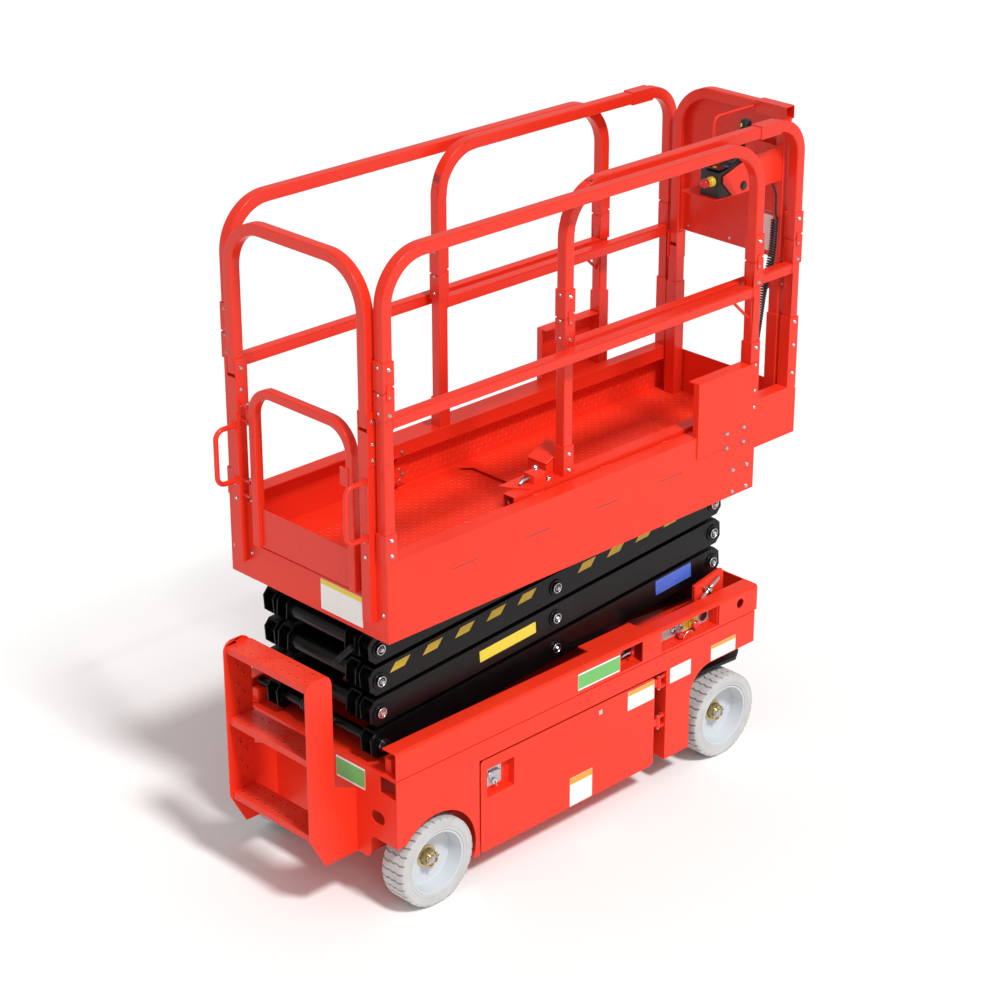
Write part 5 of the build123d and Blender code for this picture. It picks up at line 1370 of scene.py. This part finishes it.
@dataclass
class UpperControls:
    """Fittings of the operator's control box and the panel behind it.

    Attributes:
        rear: Rear face of the box along X.
        middle: Middle of the box along Y.
        top: Height of the box's flat top at its front.
        rear_top: Height of its lower top at the rear.
        stop: Stop button on the rear face, along Y and Z.
        keypad_x: Middle of the keypad along X.
        stick_x: Foot of the joystick along X.
        connector: Round connector on the box's right side.
        cord_exit: Gland where the control cord leaves the box.
    """

    rear: float = 700.0
    middle: float = -192.0
    top: float = 2088.0
    rear_top: float = 2062.0
    stop: tuple[float, float] = (-204.0, 2024.0)
    keypad_x: float = 741.0
    stick_x: float = 842.0
    connector: Point = (812.0, -237.0, 1994.0)
    cord_exit: Point = (879.6, -215.0, 1994.0)

    def build(self) -> None:
        """Makes the stop button, joystick, keypad, switches and connector."""
        part = Piece("control_fittings", "extension")
        y, stick = self.middle, self.middle - 4
        mushroom(part, (self.rear, *self.stop), -X_AXIS, 17, 46)
        keypad = (self.keypad_x, y, self.rear_top)
        part.cut(rounded(64, 62, 6, 3), keypad, X_AXIS, Y_AXIS, 1.2, DIAL_DARK, 0.4)
        for n, finish in enumerate((DIAL_DARK, FILM_YELLOW, DIAL_DARK, FILM_BLUE, DIAL_DARK, FILM_RED)):
            spot = (self.keypad_x - 16 + 32 * (n // 3), y - 20 + 20 * (n % 3), self.rear_top + 1.2)
            part.turned(spot, Z_AXIS, stud(7, 2.2, 1.5, 1), finish, 20)
        slope = Vector((50, 0, self.top - self.rear_top)).normalized()
        part.cut(rounded(30, 60, 3), (795, y, 2075.5), slope, Y_AXIS, 1.0, DIAL_DARK, 0.3)
        gaiter = [(0, 0), (27, 0), (27, 3), (21, 5), (23, 9), (18, 12)]
        gaiter += [(20, 16), (14, 20), (16, 24), (10, 28), (8, 34), (0, 34)]
        part.turned((self.stick_x, stick, self.top), Z_AXIS, gaiter, NYLON_BLACK, 28)
        grip = [(0, 28), (12, 28), (17, 40), (15.5, 58), (18, 78), (20, 94), (17, 108), (9, 113), (0, 114)]
        lean = Vector((0.3, 0.0, 1.0)).normalized()
        part.turned((self.stick_x - 4, stick, self.top), lean, grip, NYLON_BLACK, 28)
        for dx, dz, long, thick, finish in ((2.4, 92, 12, 3, FILM_YELLOW), (-2.4, 58, 26, 3.5, DIAL_DARK)):
            at = (self.stick_x + dx, stick, self.top + dz)
            part.cut(rounded(5, long, 2), at, -Y_AXIS, Z_AXIS, thick, finish, 0.6)
        collar = [(0, -4), (13.4, -4), (13.4, 2), (15.5, 2), (15.5, 5), (11, 7), (11, 10), (0, 10)]
        part.turned(self.connector, -Y_AXIS, collar, NYLON_BLACK, 28)
        gland = [(3.6, 0), (13, 0), (13, 7), (9, 10), (9, 18), (6, 21), (3.6, 21)]
        part.turned(self.cord_exit, X_AXIS, gland, NYLON_BLACK, 24, ring=True)
        part.done()
        panel = Piece("front_panel_screws", "extension")
        for y in (-190, 0, 190):
            for z in (1704, 1930):
                panel.turned((1037, y, z), -X_AXIS, stud(5.5, 1.4, 2.5, 0.8), ZINC, 16)
        panel.done()


# ------------------------------------------------------------------ chassis details


@dataclass
class ChassisFittings:
    """Small visible parts of the chassis, its doors, its ladder and its hoses.

    Attributes:
        hose_radius: Radius of a bare hose.
        wrap_radius: Middle line of its spiral wrap.
        wrap_pitch: Distance between two turns of the wrap.
        wrap_steps: Points on each turn.
        latch: Door latch along X, Y and Z, on the left side.
        hinge: Door hinge along X and Y, on the left side.
        hinge_z: Heights of the hinges.
        steps_z: Heights of the ladder's steps.
        slot_z: Height of the slot that holds the brake release.
    """

    hose_radius: float = 7.0
    wrap_radius: float = 8.4
    wrap_pitch: float = 8.0
    wrap_steps: int = 10
    latch: Point = (-431.0, 348.0, 345.0)
    hinge: tuple[float, float] = (330.0, 362.0)
    hinge_z: tuple[float, float] = (250.0, 400.0)
    steps_z: tuple[float, ...] = (310.0, 575.0, 826.0)
    slot_z: float = 545.0

    def doors(self) -> None:
        """Adds each door's latch, insert and hinge pins."""
        for side in Side:
            out = Y_AXIS * side.value
            along = Z_AXIS.cross(out)
            part = Piece(f"door_fittings_{side.word}", f"tray_{side.word}")
            latch = Vector((self.latch[0], side.value * self.latch[1], self.latch[2]))
            plate = latch + out * 2.5
            part.cut(rounded(74, 66, 5, 3), latch, along, Z_AXIS, 2.5, ZINC, 0.8)
            part.cut(rounded(56, 22, 10), plate + Z_AXIS * 12, along, Z_AXIS, 9, ZINC, 2.5)
            barrel = [(0, 0), (11, 0), (11, 9), (9, 11), (4, 11), (4, 9), (0, 9)]
            part.turned(plate - Z_AXIS * 16, out, barrel, CHROME, 24)
            key = [latch + Vector((x, out.y * 15, z)) for x, z in ((0, -14), (2, -24), (8, -34))]
            part.bar(key, 1.6, ZINC, 8)
            part.cut(rounded(19.4, 19.4, 1), (41, side.value * 371, 401), along, Z_AXIS, 1.5, PANEL_GREY, 0.3)
            hinge = Vector((self.hinge[0], side.value * self.hinge[1], 0))
            for z in self.hinge_z:
                for lift in (24, -27):
                    part.turned(hinge + Z_AXIS * (z + lift), Z_AXIS, stud(7.5, 3.4, 2.5, 1.4), ZINC, 20)
            part.done()

    def pin(self) -> None:
        """Adds the chromed lock pin through the front right ear, with its nut and ring."""
        part = Piece("ear_pin", "chassis")
        foot, tip = Vector((598, -306, 594)), Vector((690, -302, 646))
        axis = (tip - foot).normalized()
        length = (tip - foot).length
        shank = [(0, 0), (6.5, 1.5), (7.5, 4), (7.5, length - 6), (6, length), (0, length)]
        part.turned(foot, axis, shank, CHROME, 24)
        part.turned(foot + axis * 40, axis, stud(16, 4.5, 4, 1.5), ZINC, 24)
        part.turned(foot + axis * 45, axis, stud(12, 9.5, 1.5, 1.5), ZINC, 6, 0.2)
        part.turned(foot + axis * 56, axis, stud(11, 2.2), BRASS, 20)
        cross = axis.cross(Y_AXIS).normalized()
        part.bar([foot + axis * 36 - cross * 26, foot + axis * 36 + cross * 26], 4, ZINC, 12)
        part.done()

    def release(self) -> None:
        """Adds the brake release lever and valve in the slot of the right slide rail."""
        part = Piece("brake_release", "chassis")
        # Dark plate on the rail: painted shade of the slot's opening behind the valve and lever.
        part.cut(rounded(84, 40, 3), (184, -330, self.slot_z), X_AXIS, Z_AXIS, 2, DIAL_DARK, 0.5)
        valve = [(0, 0), (11, 0), (11, 5), (7, 7), (7, 14), (0, 14)]
        part.turned((164, -332, self.slot_z), -Y_AXIS, valve, ENAMEL_CAST, 24)
        part.bar([(164, -342, 545), (190, -346, 552), (206, -350, 552)], 4, ZINC, 12)
        part.turned((206, -350, 552), X_AXIS, [(0, -6), (8, -5), (9.5, 2), (7, 8), (0, 9)], BUTTON_RED, 20)
        part.done()

    @staticmethod
    def pierced(part: Piece, at: Point, axis: Vector, finish: Finish) -> None:
        """Adds the raised rim of one pierced hole and a dark disc in its middle, painted shade where the hole
        opens.
        """
        part.turned(at, axis, [(3.4, 0), (6.2, 0), (4.6, 1.3), (3.4, 1.3)], finish, 14, ring=True)
        # Dark disc: painted shade inside the hole.
        part.turned(at, axis, stud(3.5, 0.15), DIAL_DARK, 12)

    def ladder(self) -> None:
        """Lays the pierced tread sheets on the steps and marks the left stringer's holes."""
        part = Piece("ladder_treads", "chassis")
        for z in self.steps_z:
            part.cut(rounded(94, 369, 3), (-999.5, 2.5, z), X_AXIS, Y_AXIS, 1.0, POWDER_TREAD, 0.3)
            for n in range(20):
                at = (-1024 if n % 2 else -976, -170 + n * 18.1, z + 1.0)
                self.pierced(part, at, Z_AXIS, POWDER_TREAD)
        for z in range(345, 800, 34):
            if abs(z - self.steps_z[1]) > 16:
                self.pierced(part, (-1012 if z % 68 < 34 else -990, 187.5, z), -Y_AXIS, POWDER_RED)
        part.done()

    def hose(self, name: str, body: str, foot: Point, tip: Point) -> None:
        """Adds a hose in its spiral wrap.

        Args:
            name: Name of the piece.
            body: Body it rides.
            foot: Its lower end.
            tip: Its upper end.
        """
        part = Piece(name, body)
        start, run = Vector(foot), Vector(tip) - Vector(foot)
        u, v = frame_of(run.normalized())
        part.bar([start, start + run], self.hose_radius, PVC_BLACK, 12)
        count = int(run.length / self.wrap_pitch) * self.wrap_steps
        circle = ring_of(self.wrap_radius, self.wrap_steps)
        turns = [circle[n % self.wrap_steps] for n in range(count + 1)]
        spiral = [start + run * n / count + u * a + v * b for n, (a, b) in enumerate(turns)]
        part.bar(spiral, 2.4, NYLON_BLACK, 6)
        part.done()

    def hoses(self) -> None:
        """Adds the wrapped hoses that cross the rear of the folded arms."""
        self.hose("hose_wrapped_low", "chassis", (-852, 30, 512), (-852, -74, 606))
        self.hose("hose_wrapped_high", "outer_3", (-870, -112, 823), (-870, -196, 908))

    def build(self) -> None:
        """Makes all the details."""
        self.doors()
        self.pin()
        self.release()
        self.ladder()
        self.hoses()

# ------------------------------------------------------------------ control cord


@dataclass
class ControlCord:
    """Curly cord from the control box down to the socket on the extension.

    Attributes:
        radius: Radius of the wire.
        helix: Radius of the helix's middle line.
        pitch: Distance between two turns.
        steps: Points on each turn.
        upper: Points of the straight run from the box.
        coil: Points of the coiled run's middle line.
        lower: Points of the straight run into the plug.
    """

    radius: float = 3.5
    helix: float = 10.0
    pitch: float = 8.6
    steps: int = 12
    upper: tuple[Point, ...] = (
        (880, -215, 1994), (962, -215, 1994), (991, -234, 1932), (985.6, -236, 1868),
    )
    coil: tuple[Point, ...] = (
        (985, -236, 1840), (976, -239, 1710), (938, -238, 1602), (922, -239, 1500), (900, -235, 1352),
    )
    lower: tuple[Point, ...] = ((897.5, -235, 1326), (891, -233, 1288), (891, -233, 1240))

    def turns(self) -> list[Vector]:
        """Points of the helix round the coil's middle line."""
        knots = [Vector(p) for p in self.coil]
        for _ in range(4):
            cut = [a.lerp(b, share) for a, b in zip(knots, knots[1:]) for share in (0.25, 0.75)]
            knots = [knots[0], *cut, knots[-1]]
        runs = [(b - a).length for a, b in zip(knots, knots[1:])]
        total, made = sum(runs), []
        count = int(total / self.pitch) * self.steps
        for n in range(count + 1):
            left, k = total * n / count, 0
            while k < len(runs) - 1 and left > runs[k]:
                left, k = left - runs[k], k + 1
            middle = knots[k].lerp(knots[k + 1], left / runs[k])
            down = (knots[min(k + 1, len(knots) - 1)] - knots[k]).normalized()
            u = down.cross(Y_AXIS).normalized()
            v = down.cross(u)
            turn = math.tau * n / self.steps
            made.append(middle + (u * math.cos(turn) + v * math.sin(turn)) * self.helix)
        return made

    def build(self) -> None:
        points = [Vector(p) for p in self.upper] + self.turns() + [Vector(p) for p in self.lower]
        data = bpy.data.curves.new("control_cord_wire", "CURVE")
        data.dimensions = "3D"
        data.resolution_u = 3
        spline = data.splines.new("NURBS")
        spline.points.add(len(points) - 1)
        for knot, point in zip(spline.points, points):
            knot.co = (*(point * MM), 1.0)
        spline.order_u = 3
        spline.use_endpoint_u = True
        cord = bpy.data.objects.new("control_cord_wire", data)
        bpy.context.scene.collection.objects.link(cord)
        bare = bpy.data.meshes.new_from_object(cord)
        bpy.data.meshes.remove(bare)
        data.bevel_depth = self.radius * MM
        data.bevel_resolution = 2
        data.use_fill_caps = True
        data.materials.append(PVC_BLACK.material())
        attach(cord, "extension")
        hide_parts("control_cord", "cord_coil")
        boot = Piece("cord_plug_boot", "extension")
        taper = [(3.6, 0), (12, 0), (11, 6), (8, 9), (6.5, 22), (3.6, 22)]
        boot.turned(self.lower[-1], Z_AXIS, taper, NYLON_BLACK, 20, ring=True)
        boot.done()


ASSEMBLIES: tuple = (
    WheelDress, SteeringDress, PinDress, FilmSet, TreadSheets, RailHardware, SlideLock, LowerControls,
    UpperControls, ChassisFittings, ControlCord,
)

# ------------------------------------------------------------------ studio


@dataclass
class Studio:
    """Pale floor, soft daylight and the camera.

    Attributes:
        eye: Camera's place, in metres.
        target: Point it looks at.
        lens_mm: Focal length on a 36 mm wide sensor.
        floor_colour: Colour of the floor.
        reach: Half the floor's width, in metres.
        key: Strength of the key light.
    """

    eye: Point = (-5.5024, -5.5604, 4.588)
    target: Point = (-4.5615, -4.5999, 3.9807)
    lens_mm: float = 95.1
    floor_colour: str = "F7F7F6"
    reach: float = 30.0
    key: float = 2.45

    def floor(self) -> None:
        """Lays a large plain floor at height zero."""
        data = bpy.data.meshes.new("floor")
        corners = [(a * self.reach, b * self.reach, 0) for a, b in ((-1, -1), (1, -1), (1, 1), (-1, 1))]
        data.from_pydata(corners, [], [(0, 1, 2, 3)])
        ground = bpy.data.objects.new("floor", data)
        bpy.context.scene.collection.objects.link(ground)
        paper = bpy.data.materials.new("studio_paper_matt")
        paper.use_nodes = True
        shader = paper.node_tree.nodes["Principled BSDF"]
        shader.inputs["Base Color"].default_value = linear(self.floor_colour)
        shader.inputs["Roughness"].default_value = 0.9
        data.materials.append(paper)

    def sun(self) -> None:
        """Hangs the wide, far key light above the machine's right side."""
        data = bpy.data.lights.new("key_light", "SUN")
        data.energy, data.angle, data.color = self.key, math.radians(9), linear("FFFFFF")[:3]
        lamp = bpy.data.objects.new("key_light", data)
        lamp.location = (-0.6, -4.3, 6.0)
        lamp.rotation_euler = (-Vector(lamp.location)).to_track_quat("-Z", "Y").to_euler()
        bpy.context.scene.collection.objects.link(lamp)

    def lamp(self, name: str, at: Point, size: float, power: float, colour: str) -> None:
        """Hangs a square soft light that faces the machine.

        Args:
            name: Name of the light.
            at: Its place, in metres.
            size: Side of the square, in metres.
            power: Strength in watts.
            colour: sRGB colour.
        """
        data = bpy.data.lights.new(name, "AREA")
        data.size, data.energy, data.color = size, power, linear(colour)[:3]
        lamp = bpy.data.objects.new(name, data)
        lamp.location = at
        lamp.rotation_euler = (Vector((0, 0, 1.1)) - Vector(at)).to_track_quat("-Z", "Y").to_euler()
        bpy.context.scene.collection.objects.link(lamp)

    def build(self) -> None:
        """Makes the floor, the lights, the surrounding light and the camera."""
        self.floor()
        self.sun()
        self.lamp("soft_window", (-4.5, -6.0, 5.0), 3.0, 50, "FFFFFF")
        world = bpy.data.worlds.new("pale_room")
        world.use_nodes = True
        room = world.node_tree.nodes["Background"]
        room.inputs["Color"].default_value = linear("FFFFFF")
        room.inputs["Strength"].default_value = 0.5
        bpy.context.scene.world = world
        bpy.context.scene.view_settings.view_transform = "Standard"
        data = bpy.data.cameras.new("camera")
        data.sensor_width, data.lens = 36.0, self.lens_mm
        data.clip_start, data.clip_end = 0.1, 100
        camera = bpy.data.objects.new("camera", data)
        camera.location = self.eye
        look = Vector(self.target) - Vector(self.eye)
        camera.rotation_euler = look.to_track_quat("-Z", "Y").to_euler()
        bpy.context.scene.collection.objects.link(camera)
        bpy.context.scene.camera = camera
        log.info("studio ready")


def main() -> None:
    """Builds every sub-assembly in order."""
    logging.basicConfig(level=logging.INFO, format="%(name)s: %(message)s")
    FrameDress().dress()
    for assembly in ASSEMBLIES:
        assembly().build()
    Studio().build()


if __name__ == "__main__":
    main()
